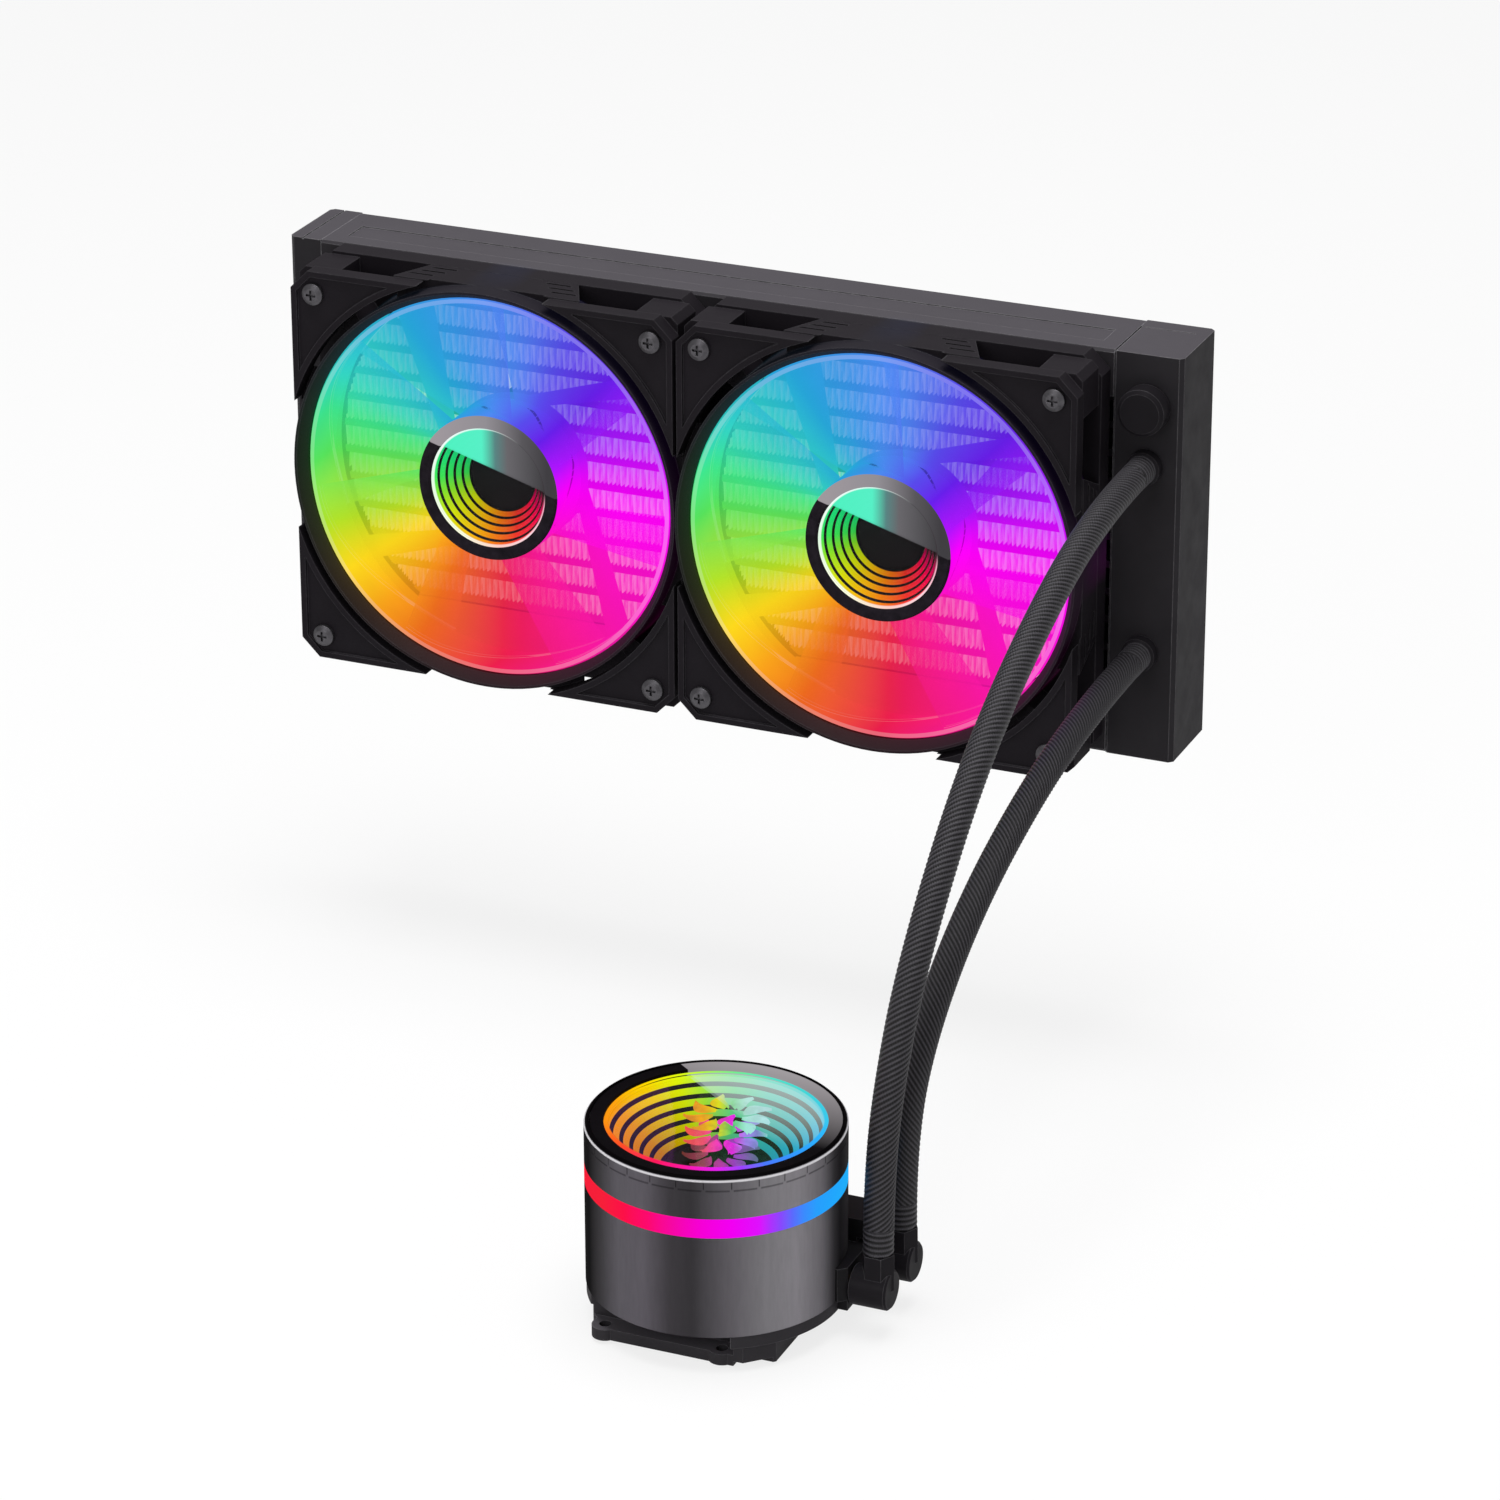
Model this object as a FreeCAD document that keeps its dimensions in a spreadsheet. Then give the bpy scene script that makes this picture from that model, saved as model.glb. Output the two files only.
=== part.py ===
# All in one liquid cooler: a radiator with two fans, two hoses and a pump block.
# Millimetres, +Z up. The origin is the centre of the hole grid on the radiator's rear face.
# The radiator stands upright along X, its fans look towards -Y and the pump hangs in front of
# the radiator's right end, below it, as far as its hoses let it.
import FreeCAD, Part
import math
import os
import re
import Sketcher
from FreeCAD import Placement, Rotation, Vector

# Driving dimensions. Every one of them becomes a named cell of the sheet.
SIZES = {
    # Radiator
    "radiator_depth": 27,
    "core_margin_left": 2,
    "core_margin_right": 1,
    "left_tank_length": 10,
    "right_tank_length": 20,
    "tank_wall": 1.5,
    "tank_front_wall": 3,
    "tank_baffle": 1.5,
    "edge_chamfer": 0.8,
    "end_chamfer": 1.2,
    "seam_width": 0.5,
    "seam_depth": 0.4,
    "seam_from_left": 4,
    "seam_from_rear": 5.6,
    "seam_right_stop": 4,
    "panel_side_margin": 5.5,
    "panel_front": 20.5,
    "panel_rear": 11,
    "panel_depth": 0.4,
    "channel_wall": 1.2,
    "channel_height": 13.5,
    "header_thickness": 1.2,
    "tube_count": 12,
    "tube_thickness": 2,
    "tube_wall": 0.4,
    "tube_depth": 22,
    "tube_overhang": 1,
    "fin_thickness": 0.3,
    "fin_fold": 6,
    "mount_hole_radius": 1.5,
    "front_hole_radius": 1.7,
    # Fittings on the right tank
    "port_height": 27.7,
    "port_thread_radius": 4,
    "port_collar_radius": 4.9,
    "port_collar_length": 4,
    "collar_chamfer": 0.7,
    "barb_length": 10,
    "barb_bore_radius": 1.9,
    "barb_taper": 0.8,
    "filler_height": 45,
    "filler_thread_radius": 4.5,
    "filler_head_radius": 6.75,
    "filler_head_length": 6,
    "filler_gasket_radius": 6,
    "filler_gasket_thickness": 0.8,
    # Hoses
    "hose_radius": 4.1,
    "hose_bore_radius": 2.85,
    # Fans
    "fan_size": 120,
    "fan_depth": 25,
    "duct_inset": 0.1,
    "duct_wall": 2.7,
    "flange_inset": 0.6,
    "front_step": 0.4,
    "front_flange": 5,
    "rear_flange": 7,
    "corner_chamfer": 5.5,
    "mouth_width": 1.9,
    "mouth_depth": 3.5,
    "groove_width": 2.6,
    "groove_depth": 6,
    "rim_width": 1.8,
    "rim_height": 0.9,
    "hole_margin": 7.5,
    "screw_hole_radius": 2.2,
    "post_width": 13,
    "web_thickness": 5,
    "flat_front_half": 29,
    "flat_rear_half": 23,
    "slot_length": 7,
    "slot_width": 1.1,
    "slot_pitch": 3.2,
    "slot_depth": 1.5,
    "strut_depth": 3.5,
    "strut_root_half": 1.2,
    "strut_end_half": 3,
    "strut_end_angle": 33.5,
    "cable_strut_end_half": 5.5,
    "motor_base_radius": 22,
    "motor_base_thickness": 3,
    # Rotor and what turns with it
    "blade_count": 7,
    "blade_thickness": 1.6,
    "blade_start": 20,
    "blade_sweep": 62,
    "blade_lean": 14,
    "blade_front": 46.6,
    "blade_rise": 12.5,
    "hub_radius": 21.7,
    "hub_wall": 1.5,
    "hub_front": 47.6,
    "hub_rear": 31.5,
    "chamber_depth": 10.4,
    "hub_web": 1.5,
    "bezel_thickness": 1,
    "bezel_width": 3.6,
    "lens_thickness": 0.9,
    "mirror_thickness": 0.8,
    "light_ring_wall": 1.5,
    "tip_ring_wall": 1.2,
    "tip_clearance": 0.6,
    "tip_ring_front": 48.2,
    "tip_ring_rear": 34,
    # Fan motor
    "shaft_radius": 1.5,
    "shaft_clearance": 0.05,
    "bearing_radius": 3.5,
    "bearing_length": 7,
    "bearing_cup_wall": 1.2,
    "bearing_floor": 1,
    "magnet_wall": 2,
    "magnet_length": 4.2,
    "stator_clearance": 0.6,
    "stator_thickness": 4.6,
    "stator_poles": 6,
    "pole_width": 3.4,
    "fan_board_thickness": 0.8,
    # Fan screws
    "screw_head_radius": 3.2,
    "screw_head_height": 2,
    "screw_radius": 1.65,
    "screw_reach": 2.6,
    "cross_length": 3,
    "cross_width": 0.7,
    "cross_depth": 1,
    # Pump block, placed from the origin
    "pump_x": 82,
    "pump_y": -213,
    "pump_bottom": -151,
    "pump_radius": 34.5,
    "base_half_x": 26,
    "base_half_y": 28,
    "base_corner": 6.6,
    "base_height": 6,
    "base_rim_height": 3.5,
    "base_rim_inset": 0.2,
    "corner_rise": 1.4,
    "ear_offset": -4.1,
    "ear_spacing_x": 33.2,
    "ear_spacing_y": 51,
    "ear_radius": 3.6,
    "ear_thickness": 3.2,
    "ear_hole_radius": 1.6,
    "cold_plate_half": 22,
    "cold_plate_corner": 4,
    "cold_plate_thickness": 2.6,
    "cold_plate_proud": 0.8,
    "plate_screw_reach": 18.6,
    "plate_screw_radius": 1,
    "plate_screw_head": 1.9,
    "plate_screw_length": 4.4,
    "micro_fin_half": 10,
    "micro_fin_height": 3,
    "micro_fin_thickness": 0.5,
    "micro_fin_pitch": 1.5,
    "micro_fin_count": 15,
    "gasket_thickness": 0.8,
    "gasket_outer": 16.9,
    "gasket_width": 1.5,
    "water_radius": 15,
    "jet_plate_thickness": 1.2,
    "jet_slot_width": 2,
    "jet_clearance": 0.2,
    # Pump housing and its motor
    "housing_radius": 29,
    "housing_height": 13,
    "volute_radius": 13.5,
    "volute_height": 7,
    "can_radius": 8,
    "can_wall": 1,
    "can_height": 15,
    "pump_stator_radius": 20,
    "pump_stator_thickness": 7,
    "pump_pole_width": 4.5,
    "impeller_radius": 12,
    "impeller_disc": 1.5,
    "impeller_vanes": 6,
    "vane_height": 4,
    "impeller_gap": 0.8,
    "rotor_magnet_radius": 7.2,
    "pump_shaft_radius": 1.2,
    "board_radius": 31,
    "board_thickness": 1.2,
    "board_post_radius": 2.5,
    "board_post_reach": 24,
    # Pump shell and its mirror
    "shell_wall": 2.2,
    "shell_height": 29,
    "band_height": 5.5,
    "upper_shell_height": 11.6,
    "rim_chamfer": 0.9,
    "mirror_bezel_width": 3.6,
    "mirror_bezel_thickness": 0.9,
    "glass_thickness": 1,
    "glass_ledge": 1.2,
    "tunnel_depth": 13,
    "tunnel_wall": 1.5,
    "tunnel_ledge": 2.5,
    "back_mirror_thickness": 1,
    # Port block and elbows on the pump's right side
    "block_proud": 2.6,
    "block_inset": 19.5,
    "lip_height": 3.1,
    "block_front": 2,
    "block_rear": 27.9,
    "block_bottom": 9.5,
    "block_top": 19.1,
    "block_corner": 2,
    "hood_proud": 2.5,
    "hood_inset": 17.5,
    "slot_depth": 3,
    "hood_front": 14,
    "hood_rear": 26,
    "hood_bottom": 20.6,
    "hood_top": 25.9,
    "elbow_height": 12.45,
    "elbow_front_offset": 4.5,
    "elbow_rear_offset": 21.4,
    "elbow_radius": 5.5,
    "elbow_gap": 0.5,
    "elbow_reach": 47.9,
    "elbow_chamfer": 0.6,
    "elbow_end_wall": 1.5,
    "stem_offset": 43.9,
    "stem_flat_radius": 3.9,
    "stem_length": 10.5,
    "rear_elbow_lean": 2.5,
    "spigot_radius": 3.5,
    "swivel_clearance": 0.06,
    "spigot_bore_radius": 1.8,
    "spigot_depth": 2.6,
    "o_ring_width": 1.4,
    "o_ring_depth": 0.9,
    "o_ring_clearance": 0.04,
    "elbow_barb_clearance": 0.1,
}

# Hose routes: the points that the hoses bend towards, as the shift of X from the ports, y and z.
UPPER_HOSE_ROUTE = [
    (0, -31, 27.7),
    (0, -58, 27.7),
    (-0.7, -99.1, 17.2),
    (-1.9, -150.9, -9.9),
    (-3.4, -190.3, -51.5),
    (-4.6, -204.5, -84.3),
    (-5.1, -208.5, -109.5),
    (-5.1, -208.5, -128.05),
]
LOWER_HOSE_ROUTE = [
    (0, -31, -27.7),
    (0, -60, -27.7),
    (-0.9, -109.4, -35.7),
    (-2.4, -156.1, -54.2),
    (-4, -185.8, -80.8),
    (-5.1, -192.91, -108.55),
    (-5.1, -192.058, -128.06),
]
BEND_SHARE = 0.45
TUBE_RADII = []

doc = FreeCAD.newDocument("liquid_cooler")
sheet = doc.addObject("Spreadsheet::Sheet", "Sizes")
nodes = []


def fill_sheet():
    """One row for each driving dimension: its name, and the cell that carries its value."""
    for row, (alias, value) in enumerate(SIZES.items(), start=1):
        sheet.set(f"A{row}", alias)
        sheet.set(f"B{row}", str(value))
        sheet.setAlias(f"B{row}", alias)
    doc.recompute()


def size(alias):
    """A driving dimension as the sheet holds it."""
    return float(sheet.get(alias))


def formula(text):
    """A size formula in which each driving dimension is read from the sheet."""
    return re.sub(r"[a-z]\w*", lambda word: named_cell(word.group()), str(text))


def named_cell(word):
    return f"Sizes.{word}" if word in SIZES else word


def tie(item, prop, text):
    item.setExpression(prop, formula(text))


def place(item, x=0, y=0, z=0):
    """Puts an object at a point that may depend on the sheet."""
    for axis, text in zip("xyz", (x, y, z)):
        if text != 0:
            tie(item, f"Placement.Base.{axis}", text)
    return item


def node(item, label):
    """Names an object as one of the cooler's sub-parts."""
    item.Label = label
    nodes.append(item)
    return item


def block(x, y, z):
    """A box between a low and a high place along each axis."""
    box = doc.addObject("Part::Box", "block")
    for side, axis, (low, high) in zip(("Length", "Width", "Height"), "xyz", (x, y, z)):
        tie(box, side, f"({high}) - ({low})")
        tie(box, f"Placement.Base.{axis}", low)
    return box


ALONG = {
    "x": Rotation(Vector(0, 1, 0), 90),
    "y": Rotation(Vector(1, 0, 0), -90),
    "z": Rotation(),
}


def rod(axis, radius, low, high, centre=(0, 0)):
    """A cylinder along an axis, from low to high; centre holds its other two coordinates."""
    item = doc.addObject("Part::Cylinder", "rod")
    item.Placement = Placement(Vector(), ALONG[axis])
    tie(item, "Radius", radius)
    tie(item, "Height", f"({high}) - ({low})")
    others = [name for name in "xyz" if name != axis]
    tie(item, f"Placement.Base.{axis}", low)
    for name, text in zip(others, centre):
        tie(item, f"Placement.Base.{name}", text)
    return item


def fused(items):
    joined = doc.addObject("Part::MultiFuse", "joined")
    joined.Shapes = items
    joined.Refine = False
    return joined


def cut(base, tools):
    """The base without its tools, which are joined first where there are several."""
    result = doc.addObject("Part::Cut", "cut")
    result.Base = base
    result.Tool = tools[0] if len(tools) == 1 else fused(tools)
    result.Refine = False
    return result


def group(items):
    """Separate solids kept in one node."""
    together = doc.addObject("Part::Compound", "group")
    together.Links = items
    return together


def new_body():
    return doc.addObject("PartDesign::Body", "body")


PLANES = {"z": "XY_Plane", "y": "XZ_Plane", "x": "YZ_Plane"}


def origin_feature(body, role):
    return next(item for item in body.Origin.OriginFeatures if item.Role == role)


def sketch(body, axis, level=0):
    """An empty sketch across an axis, at a level along it. Across Y it faces -Y."""
    drawing = body.newObject("Sketcher::SketchObject", "sketch")
    drawing.AttachmentSupport = [(origin_feature(body, PLANES[axis]), "")]
    drawing.MapMode = "FlatFace"
    tie(drawing, "AttachmentOffset.Base.z", f"-({level})" if axis == "y" else level)
    return drawing


def value_of(text):
    """The number that a size formula has now, to draw a sketch near its final shape."""
    words = {alias: size(alias) for alias in set(re.findall(r"[a-z]\w*", str(text))) & set(SIZES)}
    plain = re.sub(r"[a-z]\w*", lambda word: number_for(word.group(), words), str(text))
    return float(FreeCAD.Units.Quantity(f"({plain})").Value)


def number_for(word, words):
    return f"({words[word]!r})" if word in words else word


def draw_polygon(drawing, points, arcs=()):
    """A closed outline. Its corners are formulas; an edge named in arcs is an arc about 0, 0."""
    first = drawing.GeometryCount
    spots = [Vector(value_of(x), value_of(y), 0) for x, y in points]
    count = len(spots)
    for index, spot in enumerate(spots):
        after = spots[(index + 1) % count]
        if index in arcs:
            drawing.addGeometry(short_arc(spot, after), False)
        else:
            drawing.addGeometry(Part.LineSegment(spot, after), False)
    for index in range(count):
        this, after = first + index, first + (index + 1) % count
        # An arc runs anticlockwise, so its first point is the second one of a clockwise edge.
        end = arc_end(spots[index], spots[(index + 1) % count]) if index in arcs else 2
        start = arc_start(spots[(index + 1) % count], spots[(index + 2) % count]) \
            if (index + 1) % count in arcs else 1
        drawing.addConstraint(Sketcher.Constraint("Coincident", this, end, after, start))
        pin_corner(drawing, this, 3 - end if index in arcs else 1, points[index])
        if index in arcs:
            drawing.addConstraint(Sketcher.Constraint("PointOnObject", this, 3, -1))


def turns_left(start, end):
    return start.x * end.y - start.y * end.x > 0


def arc_end(start, end):
    return 2 if turns_left(start, end) else 1


def arc_start(start, end):
    return 1 if turns_left(start, end) else 2


def short_arc(start, end):
    """The shorter arc about 0, 0 between two points."""
    ends = (start, end) if turns_left(start, end) else (end, start)
    angles = [math.atan2(spot.y, spot.x) for spot in ends]
    circle = Part.Circle(Vector(), Vector(0, 0, 1), start.Length)
    return Part.ArcOfCircle(circle, angles[0], angles[1])


def pin_corner(drawing, edge, point, place_of_corner):
    """Ties one corner to its two formulas. A zero is a point on the sketch's own axis."""
    for kind, axis, text in zip(("DistanceX", "DistanceY"), (-2, -1), place_of_corner):
        if text == 0:
            drawing.addConstraint(Sketcher.Constraint("PointOnObject", edge, point, axis))
        else:
            tie_distance(drawing, (kind, -1, 1, edge, point), text)


def tie_distance(drawing, constraint, text):
    number = drawing.addConstraint(Sketcher.Constraint(*constraint, value_of(text)))
    tie(drawing, f"Constraints[{number}]", text)


def draw_circle(drawing, x, y, radius):
    spot = Vector(value_of(x), value_of(y), 0)
    edge = drawing.addGeometry(Part.Circle(spot, Vector(0, 0, 1), value_of(radius)), False)
    pin_corner(drawing, edge, 3, (x, y))
    number = drawing.addConstraint(Sketcher.Constraint("Radius", edge, value_of(radius)))
    tie(drawing, f"Constraints[{number}]", radius)


def draw(drawing, outline, circles, arcs=()):
    if outline:
        draw_polygon(drawing, outline, arcs)
    for circle in circles:
        draw_circle(drawing, *circle)


def pad(body, axis, low, high, outline=None, circles=(), arcs=()):
    """Adds an outline to a body, from low to high along an axis."""
    drawing = sketch(body, axis, low)
    draw(drawing, outline, circles, arcs)
    feature = body.newObject("PartDesign::Pad", "pad")
    feature.Profile = drawing
    feature.Reversed = axis == "y"
    tie(feature, "Length", f"({high}) - ({low})")
    drawing.Visibility = False
    return feature


def pocket(body, axis, low, high, outline=None, circles=(), arcs=()):
    """Cuts an outline out of a body, from low to high along an axis."""
    drawing = sketch(body, axis, low if axis == "y" else high)
    draw(drawing, outline, circles, arcs)
    feature = body.newObject("PartDesign::Pocket", "pocket")
    feature.Profile = drawing
    tie(feature, "Length", f"({high}) - ({low})")
    return feature


def spin(body, axis, outline, kind="PartDesign::Revolution"):
    """Turns an outline about the body's Y or Z axis. Its corners are (radius, along)."""
    drawing = sketch(body, "z" if axis == "y" else "y")
    draw_polygon(drawing, outline)
    feature = body.newObject(kind, "spin")
    feature.Profile = drawing
    feature.ReferenceAxis = (drawing, ["V_Axis"])
    feature.Angle = 360
    return feature


def turned(axis, outline):
    body = new_body()
    spin(body, axis, outline)
    return body


def around(body, features, axis, count):
    """Repeats features evenly round the body's own axis."""
    doc.recompute()
    pattern = body.newObject("PartDesign::PolarPattern", "pattern")
    pattern.Originals = features
    pattern.Axis = (origin_feature(body, {"y": "Y_Axis", "z": "Z_Axis"}[axis]), [""])
    pattern.Angle = 360
    tie(pattern, "Occurrences", count)
    body.Tip = pattern
    return pattern


def along(body, features, axis, length, count):
    """Repeats features evenly along an axis of the body."""
    doc.recompute()
    pattern = body.newObject("PartDesign::LinearPattern", "pattern")
    pattern.Originals = features
    pattern.Direction = (origin_feature(body, {"x": "X_Axis", "z": "Z_Axis"}[axis]), [""])
    tie(pattern, "Length", length)
    tie(pattern, "Occurrences", count)
    body.Tip = pattern
    return pattern


def rectangle(x_low, x_high, y_low, y_high):
    return [(x_low, y_low), (x_high, y_low), (x_high, y_high), (x_low, y_high)]


def cut_square(half_x, half_y, corner, x=0, y=0):
    """A rectangle about a point with its four corners cut at 45 degrees."""
    points = []
    for side_x, side_y, first_x in ((1, -1, True), (1, 1, False), (-1, 1, True), (-1, -1, False)):
        near = (f"{x} + {side_x}*({half_x} - {corner})", f"{y} + {side_y}*({half_y})")
        far = (f"{x} + {side_x}*({half_x})", f"{y} + {side_y}*({half_y} - {corner})")
        points += [near, far] if first_x else [far, near]
    return points


# Places on the radiator that several pieces share
HALF = "fan_size/2"
FRONT = "-radiator_depth"
CORE_LEFT = "-fan_size - core_margin_left"
CORE_RIGHT = "fan_size + core_margin_right"
RADIATOR_LEFT = "-fan_size - core_margin_left - left_tank_length"
RADIATOR_RIGHT = "fan_size + core_margin_right + right_tank_length"
CORE_TOP = "fan_size/2 - channel_height"
PORT_X = "fan_size + core_margin_right + right_tank_length/2"
HOLE_HEIGHT = "(fan_size/2 - hole_margin)"
HOLE_OUTER = "fan_size - hole_margin"
HOLE_INNER = "hole_margin"
TUBE_PITCH = f"(2*({CORE_TOP}) - tube_thickness)/(tube_count - 1)"
TUBE_FRONT = "-radiator_depth/2 - tube_depth/2"
TUBE_REAR = "-radiator_depth/2 + tube_depth/2"


def mount_holes(height, radius):
    """The four screw columns at one height, as circles across Y."""
    columns = (f"-({HOLE_OUTER})", f"-({HOLE_INNER})", HOLE_INNER, HOLE_OUTER)
    return [(column, height, radius) for column in columns]


def side_channel(label, sign):
    """The folded channel above or below the core, with the screw holes in its flanges."""
    body = new_body()
    top, low = f"{sign}*({HALF})", f"{sign}*({CORE_TOP})"
    shoulder = f"{sign}*({HALF} - edge_chamfer)"
    under = f"{sign}*({HALF} - channel_wall)"
    pad(body, "x", CORE_LEFT, CORE_RIGHT, [
        (FRONT, low), (FRONT, shoulder), (f"{FRONT} + edge_chamfer", top),
        ("-edge_chamfer", top), (0, shoulder), (0, low),
        ("-channel_wall", low), ("-channel_wall", under),
        (f"{FRONT} + channel_wall", under), (f"{FRONT} + channel_wall", low)])
    height = f"{sign}*{HOLE_HEIGHT}"
    pocket(body, "y", FRONT, f"{FRONT} + channel_wall", circles=mount_holes(height, "front_hole_radius"))
    pocket(body, "y", "-channel_wall", 0, circles=mount_holes(height, "mount_hole_radius"))
    if sign > 0:
        pocket(body, "z", f"{HALF} - panel_depth", HALF, rectangle(
            f"{CORE_LEFT} + panel_side_margin", f"{CORE_RIGHT} - panel_side_margin",
            "-panel_front", "-panel_rear"))
    return node(body, label)


def left_tank():
    """The closed end tank, open towards the core where its header plate sits."""
    body = new_body()
    outer, inner = RADIATOR_LEFT, CORE_LEFT
    pad(body, "z", f"-({HALF})", HALF, [
        (f"{outer} + end_chamfer", FRONT), (inner, FRONT), (inner, 0),
        (f"{outer} + end_chamfer", 0), (outer, "-end_chamfer"),
        (outer, f"{FRONT} + end_chamfer")])
    pocket(body, "z", f"-({HALF}) + tank_wall", f"{HALF} - tank_wall", rectangle(
        f"{outer} + tank_wall", inner, f"{FRONT} + tank_wall", "-tank_wall"))
    seam = f"{outer} + seam_from_left"
    pocket(body, "z", f"{HALF} - seam_depth", HALF,
           rectangle(seam, f"{seam} + seam_width", FRONT, 0))
    return node(body, "left_tank")


def right_tank():
    """The port tank: a baffle parts its two chambers, and its thick front wall is tapped."""
    body = new_body()
    outer, inner = RADIATOR_RIGHT, CORE_RIGHT
    pad(body, "z", f"-({HALF})", HALF, [
        (inner, FRONT), (f"{outer} - end_chamfer", FRONT), (outer, f"{FRONT} + end_chamfer"),
        (outer, "-end_chamfer"), (f"{outer} - end_chamfer", 0), (inner, 0)])
    chamber = rectangle(inner, f"{outer} - tank_wall", f"{FRONT} + tank_front_wall", "-tank_wall")
    pocket(body, "z", "tank_baffle/2", f"{HALF} - tank_wall", chamber)
    pocket(body, "z", f"-({HALF}) + tank_wall", "-tank_baffle/2", chamber)
    header = rectangle(inner, f"{inner} + header_thickness", f"{FRONT} + tank_wall", "-tank_wall")
    pocket(body, "z", f"-({HALF}) + tank_wall", f"{HALF} - tank_wall", header)
    pocket(body, "y", FRONT, f"{FRONT} + tank_front_wall", circles=[
        (PORT_X, "port_height", "port_thread_radius"),
        (PORT_X, "-port_height", "port_thread_radius"),
        (PORT_X, "filler_height", "filler_thread_radius")])
    pocket(body, "z", f"{HALF} - seam_depth", HALF, [
        (inner, FRONT), (f"{inner} + seam_width", FRONT),
        (f"{inner} + seam_width", "-seam_from_rear - seam_width"),
        (f"{outer} - seam_right_stop", "-seam_from_rear - seam_width"),
        (f"{outer} - seam_right_stop", "-seam_from_rear"), (inner, "-seam_from_rear")])
    pocket(body, "y", FRONT, f"{FRONT} + seam_depth",
           rectangle(inner, f"{inner} + seam_width", f"-({HALF})", HALF))
    return node(body, "right_tank")


def header_plate(label, low, high):
    """The slotted plate that the flat tubes are brazed into."""
    body = new_body()
    pad(body, "x", low, high, rectangle(
        f"{FRONT} + tank_wall", "-tank_wall",
        f"-({HALF}) + tank_wall", f"{HALF} - tank_wall"))
    slot = pocket(body, "x", low, high, rectangle(
        TUBE_FRONT, TUBE_REAR, f"-({CORE_TOP})", f"-({CORE_TOP}) + tube_thickness"))
    along(body, [slot], "z", f"2*({CORE_TOP}) - tube_thickness", "tube_count")
    return node(body, label)


def flat_tubes():
    """Hollow flat tubes from one tank to the other."""
    ends = (f"{CORE_LEFT} - header_thickness - tube_overhang",
            f"{CORE_RIGHT} + header_thickness + tube_overhang")
    tubes = []
    for index in range(int(size("tube_count"))):
        low = f"-({CORE_TOP}) + {index}*({TUBE_PITCH})"
        wall = block(ends, (TUBE_FRONT, TUBE_REAR), (low, f"{low} + tube_thickness"))
        bore = block(ends, (f"{TUBE_FRONT} + tube_wall", f"{TUBE_REAR} - tube_wall"),
                     (f"{low} + tube_wall", f"{low} + tube_thickness - tube_wall"))
        tubes.append(cut(wall, [bore]))
    return node(group(tubes), "flat_tubes")


def fin_strips():
    """Folded strips that stand between the tubes, one zigzag sheet in each gap."""
    pitch = value_of(TUBE_PITCH)
    gap = pitch - size("tube_thickness")
    left, right = value_of(CORE_LEFT), value_of(CORE_RIGHT)
    folds = int((right - left) / size("fin_fold"))
    step = (right - left) / folds
    skin = size("fin_thickness")
    # The strip's thickness measured along X, so that its legs are one skin thick.
    shift = skin * math.hypot(step, gap) / gap
    strips = []
    for index in range(int(size("tube_count")) - 1):
        low = -value_of(CORE_TOP) + size("tube_thickness") + index * pitch
        upper = []
        lower = []
        for fold in range(folds + 1):
            x = left + fold * step
            top = fold % 2
            first, last = fold == 0, fold == folds
            near = 0 if first else shift / 2
            far = 0 if last else shift / 2
            height = low + gap * top
            inner = low + gap * top + (skin if top == 0 else -skin)
            if top:
                upper += [Vector(x - near, 0, height), Vector(x + far, 0, height)]
                lower += [Vector(x, 0, inner)]
            else:
                lower += [Vector(x - near, 0, height), Vector(x + far, 0, height)]
                upper += [Vector(x, 0, inner)]
        upper = [spot for number, spot in enumerate(upper) if not number or spot != upper[number - 1]]
        lower = [spot for number, spot in enumerate(lower) if not number or spot != lower[number - 1]]
        outline = Part.makePolygon(upper + lower[::-1] + upper[:1])
        sheet_face = Part.Face(outline)
        strip = sheet_face.extrude(Vector(0, size("tube_depth"), 0))
        strip.translate(Vector(0, value_of(TUBE_FRONT), 0))
        strips.append(strip)
    return node(solid_feature(Part.makeCompound(strips)), "fin_strips")


def solid_feature(shape):
    item = doc.addObject("Part::Feature", "form")
    item.Shape = shape
    return item


def port_fitting(label, height):
    """A threaded collar with the barb that its hose is pushed over."""
    collar_end = f"{FRONT} - port_collar_length"
    barb_end = f"{collar_end} - barb_length"
    body = turned("y", [
        ("barb_bore_radius", f"{FRONT} + tank_front_wall"),
        ("barb_bore_radius", barb_end),
        ("hose_bore_radius - 0.4", barb_end),
        ("hose_bore_radius", f"{barb_end} + barb_taper"),
        ("hose_bore_radius", collar_end),
        ("port_collar_radius - collar_chamfer", collar_end),
        ("port_collar_radius", f"{collar_end} + collar_chamfer"),
        ("port_collar_radius", FRONT),
        ("port_thread_radius", FRONT),
        ("port_thread_radius", f"{FRONT} + tank_front_wall")])
    place(body, x=PORT_X, z=height)
    return node(body, label)


def filler():
    """The filler plug and the flat gasket under its head."""
    seat = f"{FRONT} - filler_gasket_thickness"
    head = f"{seat} - filler_head_length"
    plug = turned("y", [
        (0, head), ("filler_head_radius - 1.1", head), ("filler_head_radius", f"{head} + 0.9"),
        ("filler_head_radius", seat), ("filler_thread_radius", seat),
        ("filler_thread_radius", f"{FRONT} + tank_front_wall"),
        (0, f"{FRONT} + tank_front_wall")])
    gasket = turned("y", rectangle("filler_thread_radius", "filler_gasket_radius", seat, FRONT))
    for body, label in ((plug, "filler_plug"), (gasket, "filler_gasket")):
        place(body, x=PORT_X, z="filler_height")
        node(body, label)


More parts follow.
